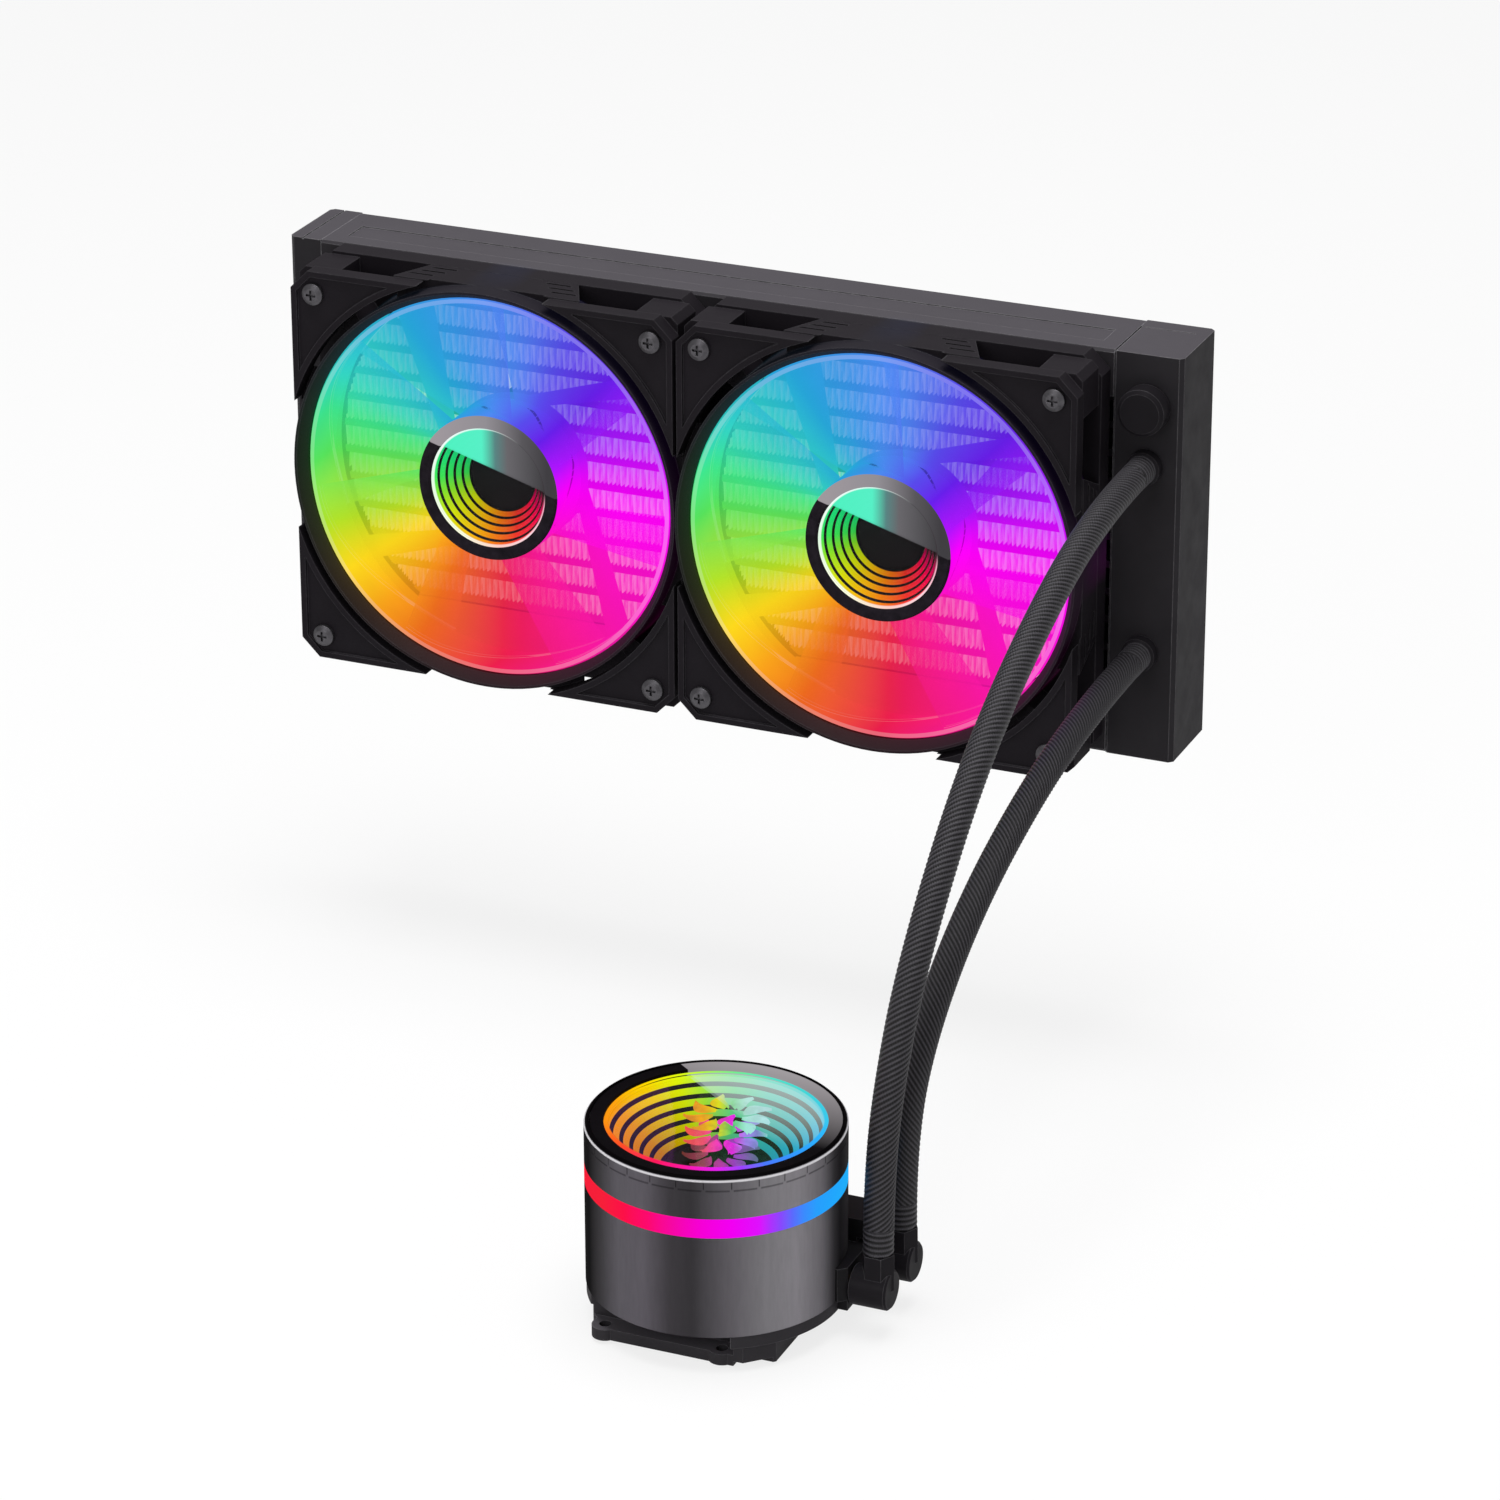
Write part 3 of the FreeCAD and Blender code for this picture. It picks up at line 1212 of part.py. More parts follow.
def elbow(label, offset, lean):
    """A swivel elbow: a barrel along X on its spigot, and a hexagonal stem with a barb."""
    bore = "spigot_radius + swivel_clearance"
    start, end = f"{BLOCK_REACH} + elbow_gap", "elbow_reach"
    barrel = rod("x", "elbow_radius", start, f"{end} - elbow_chamfer")
    nose = doc.addObject("Part::Cone", "nose")
    nose.Placement = Placement(Vector(), ALONG["x"])
    tie(nose, "Radius1", "elbow_radius")
    tie(nose, "Radius2", "elbow_radius - elbow_chamfer")
    tie(nose, "Height", "elbow_chamfer")
    place(nose, x=f"{end} - elbow_chamfer")
    stem = doc.addObject("Part::Prism", "stem")
    stem.Polygon = 6
    tie(stem, "Circumradius", "stem_flat_radius/cos(30)")
    tie(stem, "Height", "stem_length")
    place(stem, x="stem_offset")
    barb = rod("z", "hose_bore_radius - elbow_barb_clearance", "stem_length",
               "stem_length + barb_length", ("stem_offset", 0))
    solid = fused([barrel, nose, stem, barb])
    hollow = rod("x", bore, start, f"{end} - elbow_end_wall")
    passage = rod("z", "barb_bore_radius", 0, "stem_length + barb_length", ("stem_offset", 0))
    body = cut(solid, [hollow, passage])
    body.Placement = Placement(Vector(), Rotation(Vector(1, 0, 0), size("rear_elbow_lean") if lean else 0))
    place(body, x="pump_x", y=f"pump_y + {offset}", z=AXLE)
    return node(body, label)


def spigots():
    """The two hollow posts that the elbows turn on, each with a groove for its O-ring."""
    start, end = f"{BLOCK_REACH} - spigot_depth", "elbow_reach - elbow_end_wall - 0.3"
    groove = f"{BLOCK_REACH} + elbow_gap + 1.2"
    posts = []
    rings = []
    for offset in ("elbow_front_offset", "elbow_rear_offset"):
        post = rod("x", "spigot_radius", start, end)
        bore = rod("x", "spigot_bore_radius", start, "stem_offset + spigot_bore_radius")
        outlet = rod("z", "spigot_bore_radius*0.9", 0, "spigot_radius + 1", ("stem_offset", 0))
        channel = cut(rod("x", "spigot_radius + 1", groove, f"{groove} + o_ring_width"),
                      [rod("x", "spigot_radius - o_ring_depth", groove, f"{groove} + o_ring_width")])
        ring = cut(rod("x", "spigot_radius + swivel_clearance - o_ring_clearance", groove,
                       f"{groove} + o_ring_width"),
                   [rod("x", "spigot_radius - o_ring_depth", groove, f"{groove} + o_ring_width")])
        posts.append(place(cut(post, [bore, outlet, channel]), y=offset, z=AXLE))
        rings.append(place(ring, y=offset, z=AXLE))
    at_pump(group(posts), "elbow_spigots")
    return at_pump(group(rings), "elbow_o_rings")


def build_radiator():
    side_channel("top_channel", 1)
    side_channel("bottom_channel", -1)
    left_tank()
    right_tank()
    header_plate("left_header_plate", f"{CORE_LEFT} - header_thickness", CORE_LEFT)
    header_plate("right_header_plate", CORE_RIGHT, f"{CORE_RIGHT} + header_thickness")
    flat_tubes()
    fin_strips()
    port_fitting("upper_port_fitting", "port_height")
    port_fitting("lower_port_fitting", "-port_height")
    filler()
    hose("upper_hose", UPPER_HOSE_ROUTE)
    hose("lower_hose", LOWER_HOSE_ROUTE)


def build_fans():
    for number, x in ((1, "-fan_size/2"), (2, "fan_size/2")):
        fan_frame(number, x)
        fan_rotor(number, x)
        fan_hub(number, x)
        fan_motor(number, x)
    fan_screws()


def build_pump():
    cold_plate()
    plate_screws()
    pump_gasket()
    jet_plate()
    pump_base()
    pump_housing()
    impeller()
    pump_electrics()
    pump_shells()
    pump_mirror()
    elbow("front_elbow", "elbow_front_offset", False)
    elbow("rear_elbow", "elbow_rear_offset", True)
    spigots()


def check_and_export():
    """Stops on a failed object or a bad shape, then writes one file for each sub-part."""
    doc.recompute()
    failed = [item.Name for item in doc.Objects if {"Invalid", "Error"} & set(item.State)]
    if failed:
        raise SystemExit(f"failed objects: {failed}")
    for item in nodes:
        if item.Shape.isNull() or not item.Shape.isValid():
            raise SystemExit(f"bad shape: {item.Label}")
    os.makedirs("parts", exist_ok=True)
    for item in nodes:
        item.Shape.exportStep(f"parts/{item.Label}.step")


fill_sheet()
build_radiator()
build_fans()
build_pump()
check_and_export()
print("tube radii:", ", ".join(f"{radius:.0f}" for radius in TUBE_RADII))
print("sub-parts:", len(nodes))
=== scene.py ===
"""Looks of the liquid cooler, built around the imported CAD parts. Metres, in the row frame."""
import math
import bpy
from mathutils import Matrix, Vector


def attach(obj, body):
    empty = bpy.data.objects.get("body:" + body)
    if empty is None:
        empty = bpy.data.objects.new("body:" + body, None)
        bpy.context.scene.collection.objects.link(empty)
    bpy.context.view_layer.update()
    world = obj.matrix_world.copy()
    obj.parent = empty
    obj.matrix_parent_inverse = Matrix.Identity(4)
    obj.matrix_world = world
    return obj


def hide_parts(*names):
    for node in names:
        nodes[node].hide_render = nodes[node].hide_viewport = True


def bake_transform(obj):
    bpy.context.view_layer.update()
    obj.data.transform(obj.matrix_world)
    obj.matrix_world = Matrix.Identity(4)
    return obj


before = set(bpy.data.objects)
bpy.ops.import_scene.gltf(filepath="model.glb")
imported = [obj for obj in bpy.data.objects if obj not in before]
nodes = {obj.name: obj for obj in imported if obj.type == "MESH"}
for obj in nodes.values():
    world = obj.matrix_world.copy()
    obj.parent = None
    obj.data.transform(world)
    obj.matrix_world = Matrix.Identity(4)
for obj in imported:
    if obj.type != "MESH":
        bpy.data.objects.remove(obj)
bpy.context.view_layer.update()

scene = bpy.context.scene

# ---------------------------------------------------------------- camera
camera_data = bpy.data.cameras.new("camera")
camera_data.lens = 141.888
camera_data.sensor_width = 36
camera = bpy.data.objects.new("camera", camera_data)
scene.collection.objects.link(camera)
camera.matrix_world = (Matrix.Translation((0.6288, -1.4697, 0.6059))
                       @ Matrix.Rotation(math.radians(23.138), 4, "Z")
                       @ Matrix.Rotation(math.radians(66.456), 4, "X")
                       @ Matrix.Rotation(math.radians(-0.11), 4, "Z"))
scene.camera = camera
scene.view_settings.view_transform = "Standard"


# ---------------------------------------------------------------- meshes
def add_mesh(name, vertices, faces, smooth=True):
    mesh = bpy.data.meshes.new(name)
    mesh.from_pydata(vertices, [], faces)
    mesh.update()
    for face in mesh.polygons:
        face.use_smooth = smooth
    item = bpy.data.objects.new(name, mesh)
    scene.collection.objects.link(item)
    return item


def lathe(name, outlines, segments, to_space):
    """Turns open outlines of (radius, height) about an axis; to_space places (x, y, height)."""
    vertices, faces, marks = [], [], []
    for mark, outline in outlines:
        start = len(vertices)
        for radius, height in outline:
            for step in range(segments):
                angle = 2 * math.pi * step / segments
                vertices.append(to_space(radius * math.cos(angle), radius * math.sin(angle), height))
        for row in range(len(outline) - 1):
            for step in range(segments):
                after = (step + 1) % segments
                low, high = start + row * segments, start + (row + 1) * segments
                faces.append((low + step, low + after, high + after, high + step))
                marks.append(mark)
    item = add_mesh(name, vertices, faces)
    for face, mark in zip(item.data.polygons, marks):
        face.material_index = mark
    return item


# ---------------------------------------------------------------- shaders
def linear(text):
    """A screen colour such as #336699 as linear red, green, blue, alpha."""
    values = [int(text[index:index + 2], 16) / 255 for index in (1, 3, 5)]
    return tuple(v / 12.92 if v <= 0.04045 else ((v + 0.055) / 1.055) ** 2.4 for v in values) + (1.0,)


class Finish:
    """One node tree: add() makes a node, links the sockets it is given and sets the plain values."""

    def __init__(self, name):
        self.material = bpy.data.materials.new(name)
        self.material.use_nodes = True
        self.tree = self.material.node_tree
        self.tree.nodes.clear()
        self.out = self.tree.nodes.new("ShaderNodeOutputMaterial")
        self.spot = self.add("TexCoord").outputs["Object"]

    @classmethod
    def taken_on(cls, material):
        """A Finish that goes on with a material that is finished already."""
        make = cls.__new__(cls)
        make.material, make.tree = material, material.node_tree
        make.out = next(item for item in make.tree.nodes if item.type == "OUTPUT_MATERIAL")
        make.spot = next(item for item in make.tree.nodes if item.type == "TEX_COORD").outputs["Object"]
        return make

    def add(self, kind, inputs=None, **settings):
        item = self.tree.nodes.new("ShaderNode" + kind)
        for key, value in settings.items():
            setattr(item, key, value)
        for key, value in (inputs or {}).items():
            if isinstance(value, bpy.types.NodeSocket):
                self.tree.links.new(value, item.inputs[key])
            else:
                item.inputs[key].default_value = value
        return item

    def math(self, operation, first, second=0.0, third=0.0, clamp=False):
        item = self.add("Math", {0: first, 1: second, 2: third}, operation=operation)
        item.use_clamp = clamp
        return item.outputs[0]

    def span(self, value, low, high, to_low=0.0, to_high=1.0):
        """Maps low..high to to_low..to_high, and holds it there outside."""
        item = self.add("MapRange", {"Value": value, "From Min": low, "From Max": high,
                                     "To Min": to_low, "To Max": to_high})
        return item.outputs[0]

    def parts(self, vector=None):
        item = self.add("SeparateXYZ", {0: vector or self.spot})
        return item.outputs["X"], item.outputs["Y"], item.outputs["Z"]

    def noise(self, scale, detail=3.0, rough=0.5, vector=None):
        item = self.add("TexNoise", {"Vector": vector or self.spot, "Scale": scale,
                                     "Detail": detail, "Roughness": rough})
        return item.outputs[0]

    def stretch(self, x, y, z, vector=None):
        item = self.add("Mapping", {"Vector": vector or self.spot, "Scale": (x, y, z)})
        return item.outputs[0]

    def ramp(self, value, stops, interpolation="LINEAR"):
        item = self.add("ValToRGB", {0: value})
        band = item.color_ramp
        band.interpolation = interpolation
        while len(band.elements) > 1:
            band.elements.remove(band.elements[0])
        for number, (place, colour) in enumerate(stops):
            element = band.elements[0] if number == 0 else band.elements.new(place)
            element.position = place
            element.color = linear(colour) if isinstance(colour, str) else colour
        return item.outputs[0]

    def mix(self, share, first, second, blend="MIX"):
        item = self.add("Mix", data_type="RGBA", blend_type=blend)
        for index, value in ((0, share), (6, first), (7, second)):
            if isinstance(value, bpy.types.NodeSocket):
                self.tree.links.new(value, item.inputs[index])
            else:
                item.inputs[index].default_value = value
        return item.outputs[2]

    def wheel(self, turn, stops):
        """A ramp over a full turn; the stops are in degrees from -180 to 180."""
        return self.ramp(turn, [((angle + 180) / 360, colour) for angle, colour in stops])

    def bump(self, height, distance, strength=1.0, normal=None):
        inputs = {"Height": height, "Distance": distance, "Strength": strength}
        if normal is not None:
            inputs["Normal"] = normal
        return self.add("Bump", inputs).outputs[0]

    def soft_edges(self, radius):
        """The rounded normal near edges, and a mask that is 1 on the edges themselves."""
        rounded = self.add("Bevel", {"Radius": radius}, samples=6).outputs[0]
        flat = self.add("NewGeometry").outputs["Normal"]
        along = self.add("VectorMath", {0: rounded, 1: flat}, operation="DOT_PRODUCT").outputs["Value"]
        return rounded, self.span(along, 0.995, 0.80)

    def glow(self, colour, strength=1.0):
        return self.add("Emission", {"Color": colour, "Strength": strength}).outputs[0]

    def blend(self, share, first, second):
        return self.add("MixShader", {0: share, 1: first, 2: second}).outputs[0]

    def surface(self, colour, roughness, metallic=0.0, specular=0.5, normal=None, **more):
        inputs = {"Base Color": colour, "Roughness": roughness, "Metallic": metallic,
                  "Specular IOR Level": specular}
        if normal is not None:
            inputs["Normal"] = normal
        inputs.update({key.replace("_", " ").title(): value for key, value in more.items()})
        return self.add("BsdfPrincipled", inputs).outputs[0]

    def satin(self, colour, roughness, metallic, specular, normal):
        """A surface that stays dark at its limbs: mostly diffuse, with a little gloss."""
        dull = self.add("BsdfDiffuse", {"Color": colour, "Roughness": 0.3, "Normal": normal}).outputs[0]
        return self.blend(0.35, dull, self.surface(colour, roughness, metallic, specular, normal))

    def done(self, shader):
        self.tree.links.new(shader, self.out.inputs["Surface"])
        return self.material


def coat(name, base, edge, roughness, specular, grain, grain_depth, edge_radius=0.0005, edge_highlight_share=0.6,
         metallic=0.0, top=None):
    """A matt dark finish: faint mottling, fine grain, a painted highlight that makes the edges a little
    lighter and, where a top colour is given, up-facing faces painted lighter as if lit from above.
    """
    make = Finish(name)
    rounded, highlit_edges = make.soft_edges(edge_radius)
    broad = make.noise(38, 3)
    colour = make.mix(make.span(broad, 0.35, 0.65), linear(base), tuple(
        min(1.0, value * 1.22) for value in linear(base)[:3]) + (1.0,))
    # Painted light: up-facing faces take the lighter top colour, as if lit from above.
    if top:
        facing = make.parts(make.add("NewGeometry").outputs["Normal"])[2]
        colour = make.mix(make.math("MULTIPLY", make.span(facing, 0.6, 0.95), make.span(
            broad, 0.3, 0.7, 0.9, 1.0)), colour, linear(top))
    patchy = make.span(make.noise(420, 2), 0.3, 0.7, 0.55, 1.0)
    # Painted highlight: the edges are mixed towards the lighter edge colour, in patches.
    colour = make.mix(make.math("MULTIPLY", make.math("MULTIPLY", highlit_edges, patchy), edge_highlight_share),
                      colour, linear(edge))
    rough = make.span(make.noise(160, 3), 0.3, 0.7, roughness - 0.05, roughness + 0.06)
    normal = make.bump(make.noise(grain, 2, 0.6), grain_depth, 0.5, rounded)
    return make.done(make.satin(colour, rough, metallic, specular, normal))


# ---------------------------------------------------------------- lit colours
FAN_RAINBOW = [
    (-180, "#5ae85f"), (-160, "#b4e62a"), (-145, "#ffdb1e"), (-130, "#fba41c"), (-115, "#f06a20"),
    (-90, "#f0204f"), (-60, "#fb1a9a"), (-30, "#ff10d0"), (0, "#ff00ff"), (20, "#b414ff"),
    (45, "#6a20ee"), (65, "#5b4df0"), (90, "#4f8df5"), (100, "#3f93ee"), (125, "#28a8e0"),
    (150, "#34d6c8"), (165, "#3fe890"), (180, "#5ae85f")]


FAN_SIDE = 0.06  # the fans' axes are this far left and right of the middle
LIT_RADIUS = 0.0572  # the fins glow inside this circle
DUCT_RADIUS = 0.0574
HUB_RADIUS, RIM_RADIUS = 0.0219, 0.0553  # the blades reach from one to the other


def around_fan(make):
    """Angle (0 to 1 from the left, anticlockwise seen from the front) and radius about the nearer fan."""
    x, y, z = make.parts()
    side = make.math("MULTIPLY", make.math("SIGN", x), FAN_SIDE)
    away = make.math("SUBTRACT", x, side)
    angle = make.math("ARCTAN2", z, away)
    turn = make.math("MULTIPLY_ADD", angle, 1 / (2 * math.pi), 0.5)
    radius = make.math("SQRT", make.math("ADD", make.math("MULTIPLY", away, away),
                                         make.math("MULTIPLY", z, z)))
    return turn, radius, away, y, z


def fan_colours(make, turn):
    return make.wheel(turn, FAN_RAINBOW)


def rotor_finish():
    """Frosted moulding with the fans' light painted on it as a coloured glow: faint blades, an opaque hub and
    a pale rim.
    """
    make = Finish("frosted_rotor")
    turn, radius, away, y, z = around_fan(make)
    colour = fan_colours(make, turn)
    cloud = make.span(make.noise(60, 3), 0.3, 0.7, 0.95, 1.03)
    colour = make.mix(1.0, colour, make.add("CombineColor", {0: cloud, 1: cloud, 2: cloud}).outputs[0],
                      "MULTIPLY")
    facing = make.parts(make.add("NewGeometry").outputs["Normal"])[1]
    rim = make.math("MULTIPLY", make.math("GREATER_THAN", radius, RIM_RADIUS),
                    make.math("LESS_THAN", facing, -0.7))
    colour = make.mix(make.math("MULTIPLY", rim, 0.13), colour, (1, 1, 1, 1))
    lit = make.blend(0.04, make.glow(colour, 0.98),
                     make.surface(colour, 0.45, 0.0, 0.15))
    clear = make.add("BsdfTransparent").outputs[0]
    blade = make.math("MULTIPLY", make.math("GREATER_THAN", radius, HUB_RADIUS),
                      make.math("LESS_THAN", radius, RIM_RADIUS))
    return make.done(make.blend(make.math("MULTIPLY", blade, 0.52), lit, clear))


def fin_finish():
    """Black coated fins with the fans' coloured light painted as a glow on their front edges."""
    make = Finish("core_fins")
    turn, radius, away, y, z = around_fan(make)
    inside = make.math("MULTIPLY", make.math("LESS_THAN", radius, LIT_RADIUS),
                       make.span(y, -0.0205, -0.0243, 0.55, 1.0))
    folds = make.math("SINE", make.math("ADD", make.math("MULTIPLY", away, 2 * math.pi / 0.00195),
                                        make.math("MULTIPLY", make.noise(210, 2), 5.0)))
    share = make.math("MULTIPLY", make.span(away, -0.04, 0.04, 0.22, 0.62),
                      make.span(folds, -0.9, 0.9, 0.25, 1.0))
    pale = make.mix(share, fan_colours(make, turn), (1, 1, 1, 1))
    body = make.surface(linear("#1c1b1e"), 0.4, 0.3, 0.4,
                        make.bump(make.noise(900, 2), 0.00005, 0.4))
    # Little of the light comes through to the back.
    share = make.math("MULTIPLY", make.math("LESS_THAN", radius, LIT_RADIUS),
                      make.span(y, -0.0190, -0.0090, 1.0, 0.07))
    return make.done(make.blend(share, body, make.glow(pale, inside)))


def lit_inside(name, base, edge, roughness, specular, grain, grain_depth, edge_radius, edge_highlight_share, level,
               top=None):
    """A matt dark finish whose parts within the fans' circles have the fans' coloured light painted on them
    as a glow.
    """
    make = Finish.taken_on(coat(name, base, edge, roughness, specular, grain, grain_depth, edge_radius,
                                edge_highlight_share, top=top))
    body = make.out.inputs["Surface"].links[0].from_socket
    turn, radius, away, y, z = around_fan(make)
    within = make.math("MULTIPLY", make.math("LESS_THAN", radius, DUCT_RADIUS),
                       make.math("LESS_THAN", y, -0.0203))
    within = make.math("MULTIPLY", within, make.math("GREATER_THAN", y, -0.0470))
    glow = make.glow(fan_colours(make, turn), level)
    # Painted light: the duct's wall takes up a little of the fans' light next to it.
    near = make.math("MULTIPLY", make.span(radius, 0.0605, 0.0570), make.span(y, -0.030, -0.046, 1.0, 0.25))
    near = make.math("MULTIPLY", near, make.span(y, -0.0240, -0.0275))
    spill = make.add("AddShader", {0: body, 1: make.glow(fan_colours(make, turn), make.math(
        "MULTIPLY", near, 0.10))}).outputs[0]
    return make.done(make.blend(within, spill, glow))


# ---------------------------------------------------------------- hoses
def spline_points(name, route):
    """The points of a smooth spline that has the route's points as its control points."""
    data = bpy.data.curves.new(name, "CURVE")
    data.dimensions = "3D"
    data.resolution_u = 40
    spline = data.splines.new("NURBS")
    spline.points.add(len(route) - 1)
    for point, spot in zip(spline.points, route):
        point.co = (*spot, 1)
    spline.order_u = 3
    spline.use_endpoint_u = True
    item = bpy.data.objects.new(name, data)
    scene.collection.objects.link(item)
    bpy.context.view_layer.update()
    mesh = bpy.data.meshes.new_from_object(item)
    spots = [vertex.co.copy() for vertex in mesh.vertices]
    bpy.data.objects.remove(item)
    return spots


def evenly(spots, gap):
    """Points at even distances along a line of points."""
    reach = [0.0]
    for first, second in zip(spots, spots[1:]):
        reach.append(reach[-1] + (second - first).length)
    count = round(reach[-1] / gap)
    result, index = [], 0
    for step in range(count + 1):
        want = reach[-1] * step / count
        while index < len(spots) - 2 and reach[index + 1] < want:
            index += 1
        share = (want - reach[index]) / (reach[index + 1] - reach[index])
        result.append(spots[index].lerp(spots[index + 1], share))
    return result, reach[-1]


HOSE_RADIUS = 0.0041
BORE_RADIUS = 0.00285
RIB_PITCH = 0.0015
RIB_DEPTH = 0.00032
AROUND = 48  # points round the hose
FOLD_TURN = math.radians(156)  # where one of the two lines of the braid runs
PLAIN_END = 0.0072  # the ribs run straight round up to here from each end


def braided_hose(name, route, lean):
    """A hose in a braided sleeve: ribs that slant by lean turns and meet in two lines."""
    line = spline_points(name + "_line", [Vector((x / 1000, y / 1000, z / 1000)) for x, y, z in route])
    spots, length = evenly(line, RIB_PITCH / 8)
    vertices, marks = [], []
    for index, spot in enumerate(spots):
        before, after = spots[max(index - 1, 0)], spots[min(index + 1, len(spots) - 1)]
        ahead = (after - before).normalized()
        across = (Vector((1, 0, 0)) - ahead * ahead.x).normalized()
        up = ahead.cross(across)
        reach = length * index / (len(spots) - 1)
        near_end = min(reach, length - reach)
        slant = min(1.0, max(0.0, (near_end - PLAIN_END) / 0.0004))
        for step in range(AROUND):
            angle = 2 * math.pi * step / AROUND
            fold = abs(((angle - FOLD_TURN) / math.pi) % 2 - 1)
            phase = reach / RIB_PITCH + lean * slant * fold
            rib = 0.5 + 0.5 * math.cos(2 * math.pi * phase)
            radius = HOSE_RADIUS - RIB_DEPTH + RIB_DEPTH * rib ** 0.7
            vertices.append(spot + (across * math.cos(angle) + up * math.sin(angle)) * radius)
            marks.append((4 * fold, reach / RIB_PITCH, phase))
    faces = []
    for row in range(len(spots) - 1):
        for step in range(AROUND):
            after = (step + 1) % AROUND
            faces.append((row * AROUND + step, row * AROUND + after,
                          (row + 1) * AROUND + after, (row + 1) * AROUND + step))
    # The cut ends of the wall, from the sleeve in to the bore.
    for row in (0, len(spots) - 1):
        start = len(vertices)
        for step in range(AROUND):
            edge = vertices[row * AROUND + step]
            vertices.append(spots[row] + (edge - spots[row]).normalized() * BORE_RADIUS)
            marks.append(marks[row * AROUND + step])
        for step in range(AROUND):
            after = (step + 1) % AROUND
            faces.append((row * AROUND + step, row * AROUND + after, start + after, start + step))
    item = add_mesh(name, vertices, faces)
    thread = item.data.attributes.new("braid", "FLOAT_VECTOR", "POINT")
    thread.data.foreach_set("vector", [value for mark in marks for value in mark])
    return item, spots, length


UPPER_ROUTE = [(131, -31, 27.7), (131, -58, 27.7), (130.3, -99.1, 17.2), (129.1, -150.9, -9.9),
               (127.6, -190.3, -51.5), (126.4, -204.5, -84.3), (125.9, -208.5, -109.5),
               (125.9, -208.5, -128.05)]
LOWER_ROUTE = [(131, -31, -27.7), (131, -60, -27.7), (130.1, -109.4, -35.7), (128.6, -156.1, -54.2),
               (127, -185.8, -80.8), (125.9, -192.91, -108.55), (125.9, -192.058, -128.06)]


def hose_finish():
    make = Finish("braided_sleeve")
    braid = make.add("Attribute", attribute_name="braid").outputs["Vector"]
    side, along, phase = make.parts(braid)
    rib = make.math("COSINE", make.math("MULTIPLY", phase, 2 * math.pi))
    crown = make.span(rib, -1.0, 1.0)
    strand = make.math("SINE", make.math("MULTIPLY", make.math("ADD", make.math(
        "MULTIPLY", side, 5.5), phase), 2 * math.pi))
    hair = make.noise(2600, 2)
    # Painted shade: the valleys between the ribs are near black and the crowns paler.
    colour = make.mix(make.math("POWER", crown, 1.6), linear("#050405"), linear("#48464b"))
    colour = make.mix(make.math("MULTIPLY", make.span(strand, -1, 1), 0.18), colour, linear("#4c4a4e"))
    colour = make.mix(make.span(hair, 0.35, 0.7, 0.0, 0.3), colour, linear("#121113"))
    height = make.math("ADD", make.math("MULTIPLY", strand, 0.5), make.math("MULTIPLY", hair, 0.7))
    normal = make.bump(height, 0.00008, 0.8)
    return make.done(make.surface(colour, 0.5, 0.0, 0.22, normal))


sleeve = hose_finish()
for name, route, elbow, lean in (("upper_hose", UPPER_ROUTE, "front_elbow", -6.0),
                                 ("lower_hose", LOWER_ROUTE, "rear_elbow", 8.0)):
    hose, spots, length = braided_hose("braided_" + name, route, lean)
    hose.data.materials.append(sleeve)
    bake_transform(hose)
    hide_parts(name)

# ---------------------------------------------------------------- radiator core
CORE_LEFT, CORE_RIGHT, CORE_TOP = -0.122, 0.121, 0.0465
TUBES, TUBE_THICKNESS = 12, 0.002
FIN_FOLD = 0.00135


def core_fins():
    """Eleven folded strips between the flat tubes, with rounded folds."""
    pitch = (2 * CORE_TOP - TUBE_THICKNESS) / (TUBES - 1)
    gap = pitch - TUBE_THICKNESS
    count = int((CORE_RIGHT - CORE_LEFT) / FIN_FOLD) * 2
    step = (CORE_RIGHT - CORE_LEFT) / count
    depths = (-0.0244, -0.0205, -0.0135, -0.0065, -0.0026)
    vertices, faces = [], []
    for row in range(TUBES - 1):
        base = -CORE_TOP + TUBE_THICKNESS + row * pitch
        line = []
        for index in range(count):
            x = CORE_LEFT + index * step
            lower, upper = (base, base + gap) if index % 2 == 0 else (base + gap, base)
            line += [(x, lower), (x + step * 0.30, lower + (upper - lower) * 0.06),
                     (x + step * 0.70, upper - (upper - lower) * 0.06)]
        line.append((CORE_RIGHT, base))
        for x, z in line:
            start = len(vertices)
            vertices += [(x, y, z) for y in depths]
            if x > CORE_LEFT:
                for cell in range(len(depths) - 1):
                    faces.append((start - 5 + cell, start + cell, start + cell + 1, start - 4 + cell))
    return add_mesh("core_fins", vertices, faces, smooth=False)


fins = core_fins()
fins.data.materials.append(fin_finish())
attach(fins, "cooler")
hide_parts("fin_strips")


# ---------------------------------------------------------------- mirror tunnels: the light rings' reflections in the mirrors, painted as glowing rings that recede
def tunnel_outlines(radius, top, rings, step, lit, shrink):
    """Rings that step inwards with depth: a lit wall, then a dark wall, then the next ring's ledge."""
    outlines = []
    for ring in range(rings):
        at = top - ring * step
        size = radius * (1 - shrink * ring)
        inner = radius * (1 - shrink * (ring + 1))
        middle = size + (inner - size) * lit
        outlines.append((0, [(size, at), (middle, at - step * lit)]))
        outlines.append((1, [(middle, at - step * lit), (inner, at - step)]))
    return outlines


def closing_disc(radius, top, rings, step, shrink):
    """The dark floor that closes a tunnel behind its last ring."""
    floor_radius, floor_height = radius * (1 - shrink * rings), top - rings * step
    return [(1, [(floor_radius, floor_height), (0.0001, floor_height)])]


def join_to(first, others, materials):
    for item in (first, *others):
        for material in materials:
            item.data.materials.append(material)
    with bpy.context.temp_override(active_object=first, selected_editable_objects=[first, *others]):
        bpy.ops.object.join()


